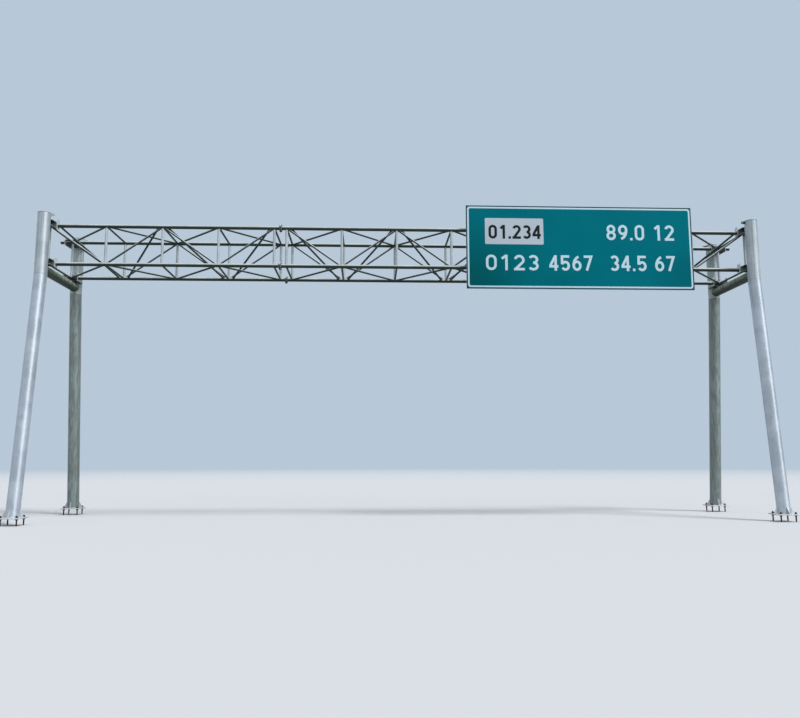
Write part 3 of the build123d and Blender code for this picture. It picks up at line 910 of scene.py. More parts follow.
def barPath(start, end, radius):
    # from chord axis to chord axis, ending inside the chord walls
    start, end = Vector(start), Vector(end)
    along = (end - start).normalized() * truss["intoChord"]
    return ([start + along, end - along], radius, False)


def saddleLoop(foot, toward, radius):
    # where a bar's skin leaves the chord's skin; the chord runs along x through the bar's foot
    foot, along = Vector(foot), (Vector(toward) - Vector(foot)).normalized()
    first = along.orthogonal().normalized()
    second = along.cross(first)
    points = []
    for angle in fullTurn(truss["beadPoints"]):
        off = (first * math.cos(angle) + second * math.sin(angle)) * radius
        a = along.y ** 2 + along.z ** 2
        b = off.y * along.y + off.z * along.z
        c = off.y ** 2 + off.z ** 2 - truss["chordRadius"] ** 2
        points.append(foot + off + along * ((math.sqrt(b * b - a * c) - b) / a))
    return (points, truss["beadRadius"], True)


def barsAndWelds(bars, material):
    rods = tubes([barPath(*bar) for bar in bars], truss["barSides"], material)
    loops = []
    for start, end, radius in bars:
        loops += [saddleLoop(start, end, radius), saddleLoop(end, start, radius)]
    return [rods, beads(loops, nodeWeld)]


def nodePlaces(start, count):
    return [start + node * truss["bay"] for node in range(count)]


def trussFace(side, start, before, after, lowFlange, highFlange):
    y = side * truss["halfDepth"]
    lowEnd, highEnd = start - before, start + runLength + after
    chords = [([(lowEnd, y, z), (highEnd, y, z)], truss["chordRadius"], False) for z in levels]
    parts = [thickened(tubes(chords, truss["chordSides"], chordZinc, caps=False), truss["chordWall"])]
    uprights = [
        ((x, y, truss["low"]), (x, y, truss["high"]), truss["uprightRadius"])
        for x in nodePlaces(start, truss["bays"] + 1)
    ]
    diagonals = []
    for node, x in enumerate(nodePlaces(start, truss["bays"])):
        first, last = levels if node % 2 == 0 else levels[::-1]
        diagonals.append(((x, y, first), (x + truss["bay"], y, last), truss["braceRadius"]))
    parts += barsAndWelds(uprights, uprightZinc) + barsAndWelds(diagonals, diagonalZinc)
    rings = discRings(truss["flangeRadius"], 0, truss["flangeThick"], truss["flangeSoft"])
    ringOut = truss["chordRadius"] + truss["flangeBeadOut"]
    flangeEnds = [(x, inward) for has, x, inward in ((lowFlange, lowEnd, 1), (highFlange, highEnd, -1)) if has]
    loops = []
    for x, inward in flangeEnds:
        for z in levels:
            flange = lathe(rings, truss["flangeSides"], chordZinc)
            flange.transform(axes((x, y, z), (0, inward, 0), (inward, 0, 0)))
            parts.append(flange)
            weldX = x + inward * truss["flangeThick"]
            loop = [(weldX, y + a, z + b) for a, b in circle(0, 0, ringOut, truss["flangeBeadPoints"])]
            loops.append((loop, truss["beadRadius"], True))
    return parts + [beads(loops, nodeWeld)]


def planBars(start, z):
    half, radius = truss["halfDepth"], truss["braceRadius"]
    bars = [((x, -half, z), (x, half, z), radius) for x in nodePlaces(start, truss["bays"] + 1)]
    for node, x in enumerate(nodePlaces(start, truss["bays"])):
        first = half if node % 2 == 0 else -half
        bars.append(((x, first, z), (x + truss["bay"], -first, z), radius))
    return bars


def innerBars(start, lowFlange, highFlange):
    # the first and last bar keep clear of the clamps at the legs
    half, bars = truss["halfDepth"], []
    for node in range(truss["bays"]):
        before = "legSetback" if node == 0 and not lowFlange else "innerSetback"
        after = "legSetback" if node == truss["bays"] - 1 and not highFlange else "innerSetback"
        lowX = start + node * truss["bay"] + truss[before]
        highX = start + (node + 1) * truss["bay"] - truss[after]
        frontX, rearX = (highX, lowX) if node % 2 == 1 else (lowX, highX)
        bars.append(((frontX, -half, truss["high"]), (rearX, half, truss["low"]), truss["braceRadius"]))
    return bars


for segment, (start, before, after, lowFlange, highFlange) in segments.items():
    for face, side in sides.items():
        meshes = trussFace(side, start, before, after, lowFlange, highFlange)
        finishPiece(f"trussTubes.{face}.{segment}", meshes, "truss_steel", f"truss_{face}_{segment}")
    for level, z in (("top", truss["high"]), ("bottom", truss["low"])):
        meshes = barsAndWelds(planBars(start, z), braceShadedZinc)
        finishPiece(f"{level}Bracing.{segment}", meshes, "truss_steel", f"{level}_bracing_{segment}")
    meshes = barsAndWelds(innerBars(start, lowFlange, highFlange), braceShadedZinc)
    finishPiece(f"innerBracing.{segment}", meshes, "truss_steel", f"inner_bracing_{segment}")
print("truss done")

spliceBolt = {
    "ring": 0.092, "count": 8, "radius": 0.010, "width": 0.030, "head": 0.0125, "nut": 0.016, "washer": 0.003,
    "washerRadius": 0.018, "washerSoft": 0.0006, "washerSides": 14, "thread": 0.010, "intoNut": 0.002,
    "pitch": 0.0025, "depth": 0.0012, "sides": 8,
}


def makeSpliceBolts():
    size, grip = spliceBolt, truss["flangeThick"]
    under, over = grip + size["washer"], grip + size["washer"] + size["nut"]
    threadFrom, threadTo = over - size["intoNut"], over + size["thread"]
    shapes = [
        (hexRings(size["width"], -under - size["head"], -under), 6),
        (discRings(size["washerRadius"], -under, -grip, size["washerSoft"]), size["washerSides"]),
        (discRings(size["washerRadius"], grip, under, size["washerSoft"]), size["washerSides"]),
        (hexRings(size["width"], under, over), 6),
        (threadRings(size["radius"], threadFrom, threadTo, size["pitch"], size["depth"]), size["sides"]),
    ]
    splices = (leftStart + runLength + truss["leftStub"], middleStart + runLength + truss["rightStub"])
    spots = [(x, side * truss["halfDepth"], z) for x in splices for side in sides.values() for z in levels]
    mesh = scattered(shapes, pointMesh(spots), ringTree, boltZinc, {
        "Count": size["count"], "Ring Radius": size["ring"], "Tilt": (0, math.pi / 2, 0),
        "Start Turn": math.pi / size["count"],
    })
    finishPiece("spliceBolts", [mesh], "bright_bolts")


makeSpliceBolts()
print("splice bolts done")

# legs

leg = {
    "radius": 0.1778, "wall": 0.008, "y": 1.315, "footY": 2.077, "plateTop": 0.215, "bend": 7.015, "top": 8.84,
    "capRadius": 0.184, "capThick": 0.010, "capSoft": 0.002, "sides": 72,
    "bendSeam": 0.007, "footSeam": 0.009, "footSeamLift": 0.003, "capSeam": 0.005, "capSeamDrop": 0.001,
    "longSeam": 0.0035, "longSteps": 40, "seamShift": 0.2,
    "lug": {
        "length": 0.12, "height": 0.08, "thick": 0.014, "hole": 0.016, "holeSides": 20, "drop": 0.010,
        "soft": 0.0015, "noseSteps": 10,
    },
}


def planeRing(centre, along, radius, level, normal, count):
    # ring where a tube's skin meets a plane; the tube leans only in y and z
    first, second = Vector((1, 0, 0)), along.cross(Vector((1, 0, 0))).normalized()
    ring = []
    for angle in fullTurn(count):
        spot = centre + first * radius * math.cos(angle) + second * radius * math.sin(angle)
        ring.append(spot + along * ((level - spot).dot(normal) / along.dot(normal)))
    return ring


def legRings(x, side, radius, count):
    foot = Vector((x, side * leg["footY"], leg["plateTop"]))
    bend = Vector((x, side * leg["y"], leg["bend"]))
    top = Vector((x, side * leg["y"], leg["top"]))
    lower, upper = (bend - foot).normalized(), (top - bend).normalized()
    mitre, upward = (lower + upper).normalized(), Vector((0, 0, 1))
    return [
        planeRing(foot, lower, radius, foot, upward, count),
        planeRing(bend, lower, radius, bend, mitre, count),
        planeRing(top, upper, radius, top, upward, count),
    ]


def makeLug(x, y, inner, material):
    lug = leg["lug"]
    reach = leg["radius"] - leg["wall"] / 2
    long, tall = lug["length"] + leg["wall"] / 2, lug["height"]
    turns = [math.pi * (step / lug["noseSteps"] - 0.5) for step in range(lug["noseSteps"] + 1)]
    nose = [(long + tall / 2 * (math.cos(a) - 1), tall / 2 * (1 + math.sin(a))) for a in turns]
    hole = circle(long - tall / 2, tall / 2, lug["hole"], lug["holeSides"])
    place = axes((x + inner * reach, y, leg["top"] - lug["drop"] - tall), (inner, 0, 0), (0, -inner, 0))
    return plate([(0, 0), *nose, (0, tall)], [hole], lug["thick"], lug["soft"], place, material)


def makeLeg(face, end, x, side):
    # the rear legs take duller, darker copies of the zinc, their darkness painted shade; above the bend they
    # are lighter again
    below, above = (legLower, legUpper) if face == "front" else (legShaded, shadedUpper)
    foot, bend, top = rings = legRings(x, side, leg["radius"], leg["sides"])
    shell = thickened(skinRings(rings, [0, 1], (below, above)), leg["wall"])
    cap = lathe(discRings(leg["capRadius"], 0, leg["capThick"], leg["capSoft"]), leg["sides"], above)
    cap.transform(Matrix.Translation((x, side * leg["y"], leg["top"])))
    seams = [
        (bend, leg["bendSeam"], True),
        ([(spot.x, spot.y, spot.z + leg["footSeamLift"]) for spot in foot], leg["footSeam"], True),
        ([(spot.x, spot.y, spot.z - leg["capSeamDrop"]) for spot in top], leg["capSeam"], True),
    ]
    back = leg["sides"] // 2 if x > 0 else 0
    for low, high in ((foot, bend), (bend, top)):
        seams.append(straightBead(low[back], high[back], leg["longSteps"], leg["longSeam"]))
        back = (back + int(leg["sides"] * leg["seamShift"])) % leg["sides"]
    ear = makeLug(x, side * leg["y"], -1 if x > 0 else 1, braceShadedZinc if end == "right" else above)
    finishPiece(f"legTube.{face}.{end}", [shell, cap, ear, beads(seams)], "leg_steel", f"leg_{face}_{end}")


for corner in corners:
    makeLeg(*corner)
print("legs done")

cross = {"radius": 0.1365, "wall": 0.008, "height": 7.2, "sides": 56, "seam": 0.008}


def makeCrossTube(end, x):
    # its ends follow the skins of the two legs, found by looking outwards along the tube's skin
    rings = []
    for side in sides.values():
        mesh = skinRings(legRings(x, side, leg["radius"], leg["sides"]))
        skin = BVHTree.FromPolygons([v.co for v in mesh.vertices], [list(p.vertices) for p in mesh.polygons])
        rings.append([
            skin.ray_cast(Vector((a, 0, b)), Vector((0, side, 0)))[0]
            for a, b in circle(x, cross["height"], cross["radius"], cross["sides"])
        ])
    shell = thickened(skinRings(rings[::-1], materials=(crossZinc,)), cross["wall"])
    seams = beads([(ring, cross["seam"], True) for ring in rings])
    finishPiece(f"crossTube.{end}", [shell, seams], "leg_steel", f"cross_tube_{end}")


for end, x in ends.items():
    makeCrossTube(end, x)
print("cross tubes done")

# feet

foot = {
    "half": 0.30, "corner": 0.012, "thick": 0.03, "soft": 0.003, "standOff": 0.185, "vent": 0.06,
    "ventSides": 40, "gussets": 4, "gussetThick": 0.014, "gussetSoft": 0.0015,
    "reach": 0.285, "toe": 0.025, "height": 0.175, "topReach": 0.2028, "snipe": 0.018,
    "studs": 4, "studRing": 0.297, "studHole": 0.022, "bead": 0.006, "beadOut": 0.001,
    "beadUp": (0.1, 0.3, 0.5, 0.7, 0.9, 1), "beadAlong": (0.14, 0.3, 0.45, 0.6, 0.75, 0.9, 1),
}


def makeFoot(face, end, x, side):
    y = side * leg["footY"]
    lean = (leg["footY"] - leg["y"]) / (leg["bend"] - leg["plateTop"])
    middle = Matrix.Translation((x, y, foot["standOff"] + foot["thick"] / 2))
    holes = [circle(0, 0, foot["vent"], foot["ventSides"])]
    for angle in fullTurn(foot["studs"], math.pi / foot["studs"]):
        spot = foot["studRing"] * math.cos(angle), foot["studRing"] * math.sin(angle)
        holes.append(circle(*spot, foot["studHole"]))
    square = roundedRect(2 * foot["half"], 2 * foot["half"], foot["corner"])
    parts = [plate(square, holes, foot["thick"], foot["soft"], middle, footZinc)]
    lines = []
    base, tall, snipe = Vector((x, y, leg["plateTop"])), foot["height"], foot["snipe"]
    root, skin = leg["radius"] - leg["wall"] / 2, leg["radius"] + foot["beadOut"]
    for angle in fullTurn(foot["gussets"]):
        outward = Vector((math.cos(angle), math.sin(angle), 0))
        across = Vector((math.sin(angle), -math.cos(angle), 0))
        slant = -side * lean * outward.y
        outline = [
            (root + snipe, 0), (foot["reach"], 0), (foot["reach"], foot["toe"]),
            (foot["topReach"] + slant * tall, tall), (root + slant * tall, tall), (root + slant * snipe, snipe),
        ]
        place = axes(base, outward, across)
        parts.append(plate(outline, [], foot["gussetThick"], foot["gussetSoft"], place, footZinc))
        upright = [(skin + slant * tall * share, tall * share) for share in foot["beadUp"]]
        level = [(skin + (foot["reach"] - skin) * share, 0) for share in foot["beadAlong"]]
        for hand in (-1, 1):
            beside = base + across * hand * foot["gussetThick"] / 2
            for run in (upright, level):
                points = [beside + outward * reach + Vector((0, 0, height)) for reach, height in run]
                lines.append((points, foot["bead"], False))
    parts.append(beads(lines))
    finishPiece(f"footPlate.{face}.{end}", parts, "leg_steel", f"base_plate_{face}_{end}")


anchor = {
    "radius": 0.020, "depth": 0.0022, "pitch": 0.0045, "nutWidth": 0.064, "nutHeight": 0.032, "washer": 0.005,
    "washerRadius": 0.037, "washerSoft": 0.0007, "washerSides": 24, "tip": 0.028, "point": 0.004, "sides": 12,
}


def makeAnchors(face, end, x, side):
    # a levelling nut below the plate and a nut above it
    size, under, over = anchor, foot["standOff"], leg["plateTop"]
    nut, washer = size["nutHeight"], size["washer"]
    tip = over + nut + size["tip"]
    threads = threadRings(size["radius"], 0, tip - size["point"], size["pitch"], size["depth"])
    shapes = [
        (threads + [(size["radius"] - size["point"], tip)], size["sides"]),
        (hexRings(size["nutWidth"], under - nut, under - washer), 6),
        (discRings(size["washerRadius"], under - washer, under, size["washerSoft"]), size["washerSides"]),
        (discRings(size["washerRadius"], over, over + washer, size["washerSoft"]), size["washerSides"]),
        (hexRings(size["nutWidth"], over + washer, over + nut), 6),
    ]
    mesh = scattered(shapes, pointMesh([(x, side * leg["footY"], 0)]), ringTree, anchorBlack, {
        "Count": foot["studs"], "Ring Radius": foot["studRing"], "Start Turn": math.pi / foot["studs"],
    })
    finishPiece(f"anchorStuds.{face}.{end}", [mesh], "dark_bolts", f"anchor_bolts_{face}_{end}")


for corner in corners:
    makeFoot(*corner)
    makeAnchors(*corner)
print("feet done")

# bolts bent round a chord, for the clamps and for the sign's saddle plates

bent = {
    "seat": 0.0002, "sides": 10, "arcSteps": 14, "washerShare": 0.58, "washerSoft": 0.0005, "washerSides": 16,
}


def boltReach(size):
    # from the chord's axis to the middle of either leg of the bolt
    return truss["chordRadius"] + bent["seat"] + size["radius"]


def boltHoles(size, centreX, placeY, sides):
    return [
        circle(centreX + a * size["spacing"] / 2, placeY(b * boltReach(size)), size["hole"], sides)
        for a in (-1, 1) for b in (-1, 1)
    ]


def bentBolt(place, size, plateFar):
    # path round the chord and out through the plate, its legs threaded past the plate; local y is along them
    reach, radius = boltReach(size), size["radius"]
    tip = plateFar + size["nutHeight"] + size["tip"]
    count = max(2, round((tip - plateFar) / size["pitch"]))
    step = (tip - plateFar) / count
    threads, radii = [], []
    for turn in range(count):
        threads += [(-reach, tip - turn * step, 0), (-reach, tip - (turn + 0.5) * step, 0)]
        radii += [radius - size["depth"], radius]
    threads.append((-reach, plateFar, 0))
    radii.append(radius)
    turns = [math.pi + math.pi * turn / bent["arcSteps"] for turn in range(bent["arcSteps"] + 1)]
    curve = [(reach * math.cos(angle), reach * math.sin(angle), 0) for angle in turns]
    points = threads + curve + [(-a, b, c) for a, b, c in threads[::-1]]
    return ([place @ Vector(point) for point in points], radii + [radius] * len(curve) + radii[::-1], False)


def makeBentBolts(name, size, places, plateThick, aim, replaced):
    plateFar = truss["chordRadius"] + plateThick
    rods = tubes([bentBolt(place, size, plateFar) for place in places], bent["sides"], boltZinc)
    reach, washer = boltReach(size), size["washer"]
    spots = [place @ Vector((across, plateFar, 0)) for place in places for across in (-reach, reach)]
    shapes = [
        (discRings(size["nutWidth"] * bent["washerShare"], 0, washer, bent["washerSoft"]), bent["washerSides"]),
        (hexRings(size["nutWidth"], washer, size["nutHeight"]), 6),
    ]
    nuts = scattered(shapes, pointMesh(spots, aim), fixingTree, boltZinc, {})
    finishPiece(name, [rods, nuts], "bright_bolts", replaced)


# clamps between legs and chords

clamp = {
    "half": 0.235, "web": 0.012, "webGap": 0.02, "plate": 0.016, "inner": 0.10, "endInner": 0.08, "wrap": 0.11,
    "wrapSteps": 18, "below": 0.10, "above": 0.18, "boreGap": 0.004, "boreSides": 40, "notch": 0.056,
    "soft": 0.0015, "corner": 0.003, "cheekCorner": 0.012, "intoLeg": 0.003,
    "bead": 0.006, "beadInset": 0.01, "shortSteps": 14, "longSteps": 30,
}
clampBolt = {
    "spacing": 0.35, "radius": 0.010, "hole": 0.012, "holeSides": 20, "nutWidth": 0.032, "nutHeight": 0.016,
    "washer": 0.003, "tip": 0.036, "pitch": 0.0025, "depth": 0.0012,
}
webInner = boltReach(clampBolt) + clamp["webGap"]
webOuter = webInner + clamp["web"]
legFace = leg["y"] - truss["halfDepth"] - leg["radius"]
clampInside = clamp["half"] - clamp["web"]


def outward(side, distance):
    # world y of what stands this far outside the chord's axis
    return side * (truss["halfDepth"] + distance)


def saddledOutline(x, side, nearest):
    # plate from the chord to the leg, its far edge cut round the leg, in world x and y
    far, axis = legFace + clamp["wrap"], leg["y"] - truss["halfDepth"]
    half = math.acos((axis - far) / leg["radius"])
    points = [(x - clampInside, nearest), (x + clampInside, nearest), (x + clampInside, far)]
    for step in range(clamp["wrapSteps"] + 1):
        angle = half - 2 * half * step / clamp["wrapSteps"]
        points.append((x + leg["radius"] * math.sin(angle), axis - leg["radius"] * math.cos(angle)))
    return [(a, outward(side, b)) for a, b in points + [(x - clampInside, far)]]


def clampParts(x, side, z):
    def y(distance):
        return outward(side, distance)

    def add(outline, holes, thick, place, material=clampShadedZinc):
        parts.append(plate(outline, holes, thick, clamp["soft"], place, material))

    parts, lines = [], []
    seat, low = z + truss["chordRadius"], z - clamp["below"]
    outline = saddledOutline(x, side, -clamp["inner"])
    if z == truss["low"]:
        # room for the upright that rises from this chord
        notch = clamp["notch"]
        room = [(-notch, -clamp["inner"]), (-notch, notch), (notch, notch), (notch, -clamp["inner"])]
        outline = outline[:1] + [(x + a, y(b)) for a, b in room] + outline[1:]
    holes = boltHoles(clampBolt, x, y, clampBolt["holeSides"])
    add(outline, holes, clamp["plate"], Matrix.Translation((0, 0, seat + clamp["plate"] / 2)))
    floor = Matrix.Translation((0, 0, low + clamp["plate"] / 2))
    add(saddledOutline(x, side, webInner), [], clamp["plate"], floor)
    height, middle = seat - low, (seat + low) / 2
    board = roundedRect(2 * clampInside, height, clamp["corner"], steps=1)
    add(board, [], clamp["web"], axes((x, y(webInner + clamp["web"] / 2), middle), (1, 0, 0), (0, -1, 0)))
    stiffTo = legFace + clamp["intoLeg"]
    stiff = roundedRect(stiffTo - webInner, height, clamp["corner"], steps=1)
    add(stiff, [], clamp["web"], axes((x, y((webInner + stiffTo) / 2), middle), (0, 1, 0), (1, 0, 0)))
    centre = (webInner + clamp["web"] - clamp["endInner"]) / 2
    middleZ = z + (clamp["above"] - clamp["below"]) / 2
    cheek = roundedRect(clamp["endInner"] + webOuter, clamp["below"] + clamp["above"], clamp["cheekCorner"])
    bore = circle(-side * centre, z - middleZ, truss["chordRadius"] + clamp["boreGap"], clamp["boreSides"])
    for way in (-1, 1):
        place = axes((x + way * (clamp["half"] - clamp["web"] / 2), y(centre), middleZ), (0, 1, 0), (1, 0, 0))
        add(cheek, [bore], clamp["web"], place, cheekZinc)
        for corner in (seat, seat + clamp["plate"]):
            first = Vector((x + way * clampInside, y(-clamp["endInner"] + clamp["beadInset"]), corner))
            last = Vector((x + way * clampInside, y(webInner), corner))
            lines.append(straightBead(first, last, clamp["shortSteps"], clamp["bead"]))
    for corner in (seat, low + clamp["plate"]):
        start, finish = (Vector((x + way * clampInside, y(webOuter), corner)) for way in (-1, 1))
        lines.append(straightBead(start, finish, clamp["longSteps"], clamp["bead"]))
    for corner in (seat, seat + clamp["plate"], low, low + clamp["plate"]):
        arc = saddledOutline(x, side, webInner)[3:-1]
        lines.append(([(a, b, corner) for a, b in arc], clamp["bead"], False))
    return parts, lines


def makeClamps(face, end, x, side):
    high, low = (clampParts(x, side, z) for z in levels)
    parts = high[0] + low[0] + [beads(high[1] + low[1])]
    finishPiece(f"chordClamps.{face}.{end}", parts, "clamp_steel", f"chord_clamps_{face}_{end}")


def makeClampBolts(face, end, x, side):
    places = [
        axes((x + way * clampBolt["spacing"] / 2, side * truss["halfDepth"], z), (0, 1, 0), (1, 0, 0))
        for z in levels for way in (-1, 1)
    ]
    name, replaced = f"clampBolts.{face}.{end}", f"clamp_u_bolts_{face}_{end}"
    makeBentBolts(name, clampBolt, places, clamp["plate"], (0, 0, 1), replaced)


for corner in corners:
    makeClamps(*corner)
    makeClampBolts(*corner)
print("clamps done")

# sign

sign = {
    "left": 1.863, "right": 8.751, "low": 6.756, "high": 9.312, "panel": 0.004, "sheets": 6, "gap": 0.0008,
    "panelCorner": 0.0015, "panelSoft": 0.0005, "millSide": 0.2, "film": 0.0006, "filmSoft": 0.0001,
    "frameDepth": 0.04, "frameWall": 0.004, "frameSoft": 0.0008,
    "frameCorner": 0.002, "frameHole": 0.001, "lipHole": 0.004,
    "ribs": 5, "ribHeight": 0.05, "ribWall": 0.003, "ribMargin": 0.15, "ribGap": 0.005,
    "ribCorner": 0.005, "ribHole": 0.002, "ribSoft": 0.0004,
    "posts": 4, "postSize": 0.1, "postWall": 0.005, "postSpacing": 1.91, "postSetback": 0.06,
    "postCorner": 0.012, "postHole": 0.007, "postSoft": 0.0008,
    "saddleWidth": 0.22, "saddleHeight": 0.19, "saddleThick": 0.012, "saddleCorner": 0.012,
    "saddleSoft": 0.0012, "saddleBead": 0.005, "saddleBeadInset": 0.01, "saddleBeadSteps": 12,
}
saddleBack = -truss["halfDepth"] - truss["chordRadius"]
postBack = saddleBack - sign["saddleThick"]
postFront = postBack - sign["postSize"]
panelBack = postFront - sign["frameDepth"]
panelFront = panelBack - sign["panel"]
signWide, signTall = sign["right"] - sign["left"], sign["high"] - sign["low"]
signX, signZ = (sign["right"] + sign["left"]) / 2, (sign["high"] + sign["low"]) / 2
postPlaces = [signX + sign["postSpacing"] * (step - (sign["posts"] - 1) / 2) for step in range(sign["posts"])]


def upright(x, y, z):
    # local x along the sign, local y up, local z out of its front
    return axes((x, y, z), (1, 0, 0), (0, -1, 0))


def makePanel():
    # sheets side by side; the film is on the front and the mill side shows behind
    wide = signWide / sign["sheets"]
    outline = roundedRect(wide - sign["gap"], signTall, sign["panelCorner"], steps=1)
    parts = []
    for sheet in range(sign["sheets"]):
        place = upright(sign["left"] + wide * (sheet + 0.5), (panelBack + panelFront) / 2, signZ)
        mesh = plate(outline, [], sign["panel"], sign["panelSoft"], place, tealSheeting)
        mesh.materials.append(millAluminium)
        for polygon in mesh.polygons:
            polygon.material_index = 1 if polygon.normal.y > sign["millSide"] else 0
        parts.append(mesh)
    finishPiece("signFace", parts, "sign_face", "sign_panel")


def film(outline, holes, x, z, material):
    place = upright(x, panelFront - sign["film"] / 2, z)
    return plate(outline, holes, sign["film"], sign["filmSoft"], place, material)


border = {
    "margin": 0.038, "width": 0.049, "outer": 0.075, "inner": 0.045, "steps": 10,
    "trim": 0.002, "trimCorner": 0.003, "slit": 0.0005,
}


def makeBorder():
    # the white line, and the dark strip outside it
    wide, tall = signWide - 2 * border["margin"], signTall - 2 * border["margin"]
    width, trim, slit, steps = border["width"], border["trim"], border["slit"], border["steps"]
    outline = roundedRect(wide, tall, border["outer"], steps)
    inside = roundedRect(wide - 2 * width, tall - 2 * width, border["inner"], steps)
    edge = roundedRect(signWide - 2 * trim, signTall - 2 * trim, border["trimCorner"], steps=2)
    inset = roundedRect(wide + 2 * slit, tall + 2 * slit, border["outer"], steps)
    line = film(outline, [inside], signX, signZ, whiteSheeting)
    return [line, film(edge, [inset], signX, signZ, edgeSheeting)]


patch = {"left": 0.570, "right": 2.341, "top": 0.388, "bottom": 1.196, "corner": 0.035}
digit = {"point": 0.16, "space": 0.26, "arcSteps": 18, "step": 0.0001, "lineEnds": 1e-6}
# text, width of a digit and of its stroke against its height, then left, right, top and bottom
numerals = {
    "patch": ("01.234", 0.60, 0.182, 0.676, 2.262, 0.598, 1.026),
    "upperRight": ("89.0 12", 0.60, 0.158, 4.262, 6.336, 0.556, 1.036),
    "lowerLeft": ("0123", 0.68, 0.158, 0.585, 2.170, 1.520, 1.996),
    "lowerMiddle": ("4567", 0.58, 0.158, 2.490, 3.820, 1.520, 1.996),
    "lowerRight": ("34.5 67", 0.58, 0.158, 4.335, 6.336, 1.512, 1.990),
}


def arc(centreX, centreY, reachX, reachY, start, finish):
    steps = digit["arcSteps"]
    turns = [math.radians(start + (finish - start) * step / steps) for step in range(steps + 1)]
    return [(centreX + reachX * math.cos(turn), centreY + reachY * math.sin(turn)) for turn in turns]


def digitStrokes(mark, wide, thick):
    # centre lines of a plain numeral in a cell one unit tall
    low, high = thick / 2, 1 - thick / 2
    left, right = low, wide - low
    middle, reach = wide / 2, (right - left) / 2
    half = (0.5 - low) / 2
    bowl, bar = 0.255, 0.28
    one, four = middle + 0.07, wide - 0.17

    def slant(first, last):
        # the stroke whose upper left edge runs between these points
        edge = Vector(last) - Vector(first)
        off = Vector((edge.y, -edge.x)).normalized() * low
        return [Vector(first) + off, Vector(last) + off]

    six = [
        arc(middle, low + bowl, reach, bowl, 0, 360),
        arc(right, low + bowl, 2 * reach, high - low - bowl, 180, 103),
    ]
    loop = arc(middle, high - reach, reach, reach, 0, 180) + arc(middle, low + reach, reach, reach, 180, 360)
    shapes = {
        " ": [],
        ".": [[(digit["point"] / 2, 0), (digit["point"] / 2, thick)]],
        "0": [loop + loop[:1]],
        "1": [[(one, 0), (one, 1)], slant((left - 0.01, 0.81), (one - low, 1))],
        "2": [arc(middle, high - reach, reach, reach, 165, -25) + [(left + 0.02, low)],
              [(0, low), (wide, low)]],
        "3": [arc(middle, 0.5 + half, reach * 0.94, half, 150, -90),
              arc(middle, 0.5 - half, reach, half, 90, -150)],
        "4": [[(four, 0), (four, 1)], slant((0, bar + low), (four - low, 1)), [(0, bar), (wide, bar)]],
        "5": [[(wide - 0.03, high), (left + 0.01, high), (left, 0.42)],
              arc(middle, low + 0.245, reach, 0.245, 157, -150)],
        "6": six,
        "7": [[(0, high), (wide - 0.7 * thick, high), (0.17, 0.025)]],
        "8": [arc(middle, 0.5 + half, reach * 0.92, half, 0, 360),
              arc(middle, 0.5 - half, reach, half, 0, 360)],
        "9": [[(wide - x, 1 - y) for x, y in stroke] for stroke in six],
    }
    return shapes[mark]


def ribbon(points, width, level, material):
    # flat band along a line, its corners mitred; it closes where the line ends at its start
    spots = [Vector(point) for point in points]
    closes = (spots[0] - spots[-1]).length < digit["lineEnds"]
    if closes:
        spots.pop()
    count = len(spots)
    verts = []
    for index, spot in enumerate(spots):
        before = spots[index - 1] if index or closes else spot
        after = spots[(index + 1) % count] if index < count - 1 or closes else spot
        into, out = (spot - before).normalized(), (after - spot).normalized()
        ahead = (into + out).normalized()
        across = Vector((-ahead.y, ahead.x))
        single = out if out.length else into
        reach = width / 2 / across.dot(Vector((-single.y, single.x)))
        verts += [(*(spot + across * reach), level), (*(spot - across * reach), level)]
    faces = []
    for index in range(count if closes else count - 1):
        here, there = 2 * index, 2 * ((index + 1) % count)
        faces.append((here, here + 1, there + 1, there))
    return newMesh(verts, faces, material)


def numeralMesh(text, wide, thick, left, right, top, bottom, y, material):
    # a row fitted to a box measured from the sign's top left corner; the gaps give way, not the digits
    tall = bottom - top
    widths = [{".": digit["point"], " ": digit["space"]}.get(mark, wide) for mark in text]
    gap = ((right - left) / tall - sum(widths)) / (len(text) - 1)
    bands, at = [], 0.0
    for mark, width in zip(text, widths):
        for layer, stroke in enumerate(digitStrokes(mark, wide, thick)):
            points = [((at + x) * tall, height * tall) for x, height in stroke]
            bands.append(ribbon(points, thick * tall, -layer * digit["step"], material))
        at += width + gap
    cut = thickened(joined("numerals", bands), sign["film"])
    cut.transform(upright(sign["left"] + left, y, sign["high"] - bottom))
    return cut


def makeLegend():
    board = makeBorder()
    outline = roundedRect(patch["right"] - patch["left"], patch["bottom"] - patch["top"], patch["corner"])
    centreX = sign["left"] + (patch["left"] + patch["right"]) / 2
    centreZ = sign["high"] - (patch["top"] + patch["bottom"]) / 2
    board.append(film(outline, [], centreX, centreZ, patchSheeting))
    for name, spec in numerals.items():
        if name != "patch":
            board.append(numeralMesh(*spec, panelFront - sign["film"], whiteSheeting))
    finishPiece("signWhiteFilm", board, "sign_face")
    black = numeralMesh(*numerals["patch"], panelFront - 2 * sign["film"], blackFilm)
    finishPiece("signBlackFilm", [black], "sign_face")


rivet = {
    "radius": 0.006, "height": 0.0025, "sides": 10, "columns": 19, "rows": 3, "inset": 0.16,
    "dome": ((1, 0), (0.92, 0.45), (0.55, 1)),
}


def makeRivets():
    dome = [(rivet["radius"] * share, rivet["height"] * up) for share, up in rivet["dome"]]
    mesh = scattered([(dome, rivet["sides"])], pointMesh([(0, 0, 0)]), rowTree, tealSheeting, {
        "Width": signWide - 2 * rivet["inset"], "Height": signTall - 2 * sign["ribMargin"],
        "Columns": rivet["columns"], "Rows": rivet["rows"], "Centre": (signX, panelFront, signZ),
    })
    finishPiece("signRivets", [mesh], "sign_face")


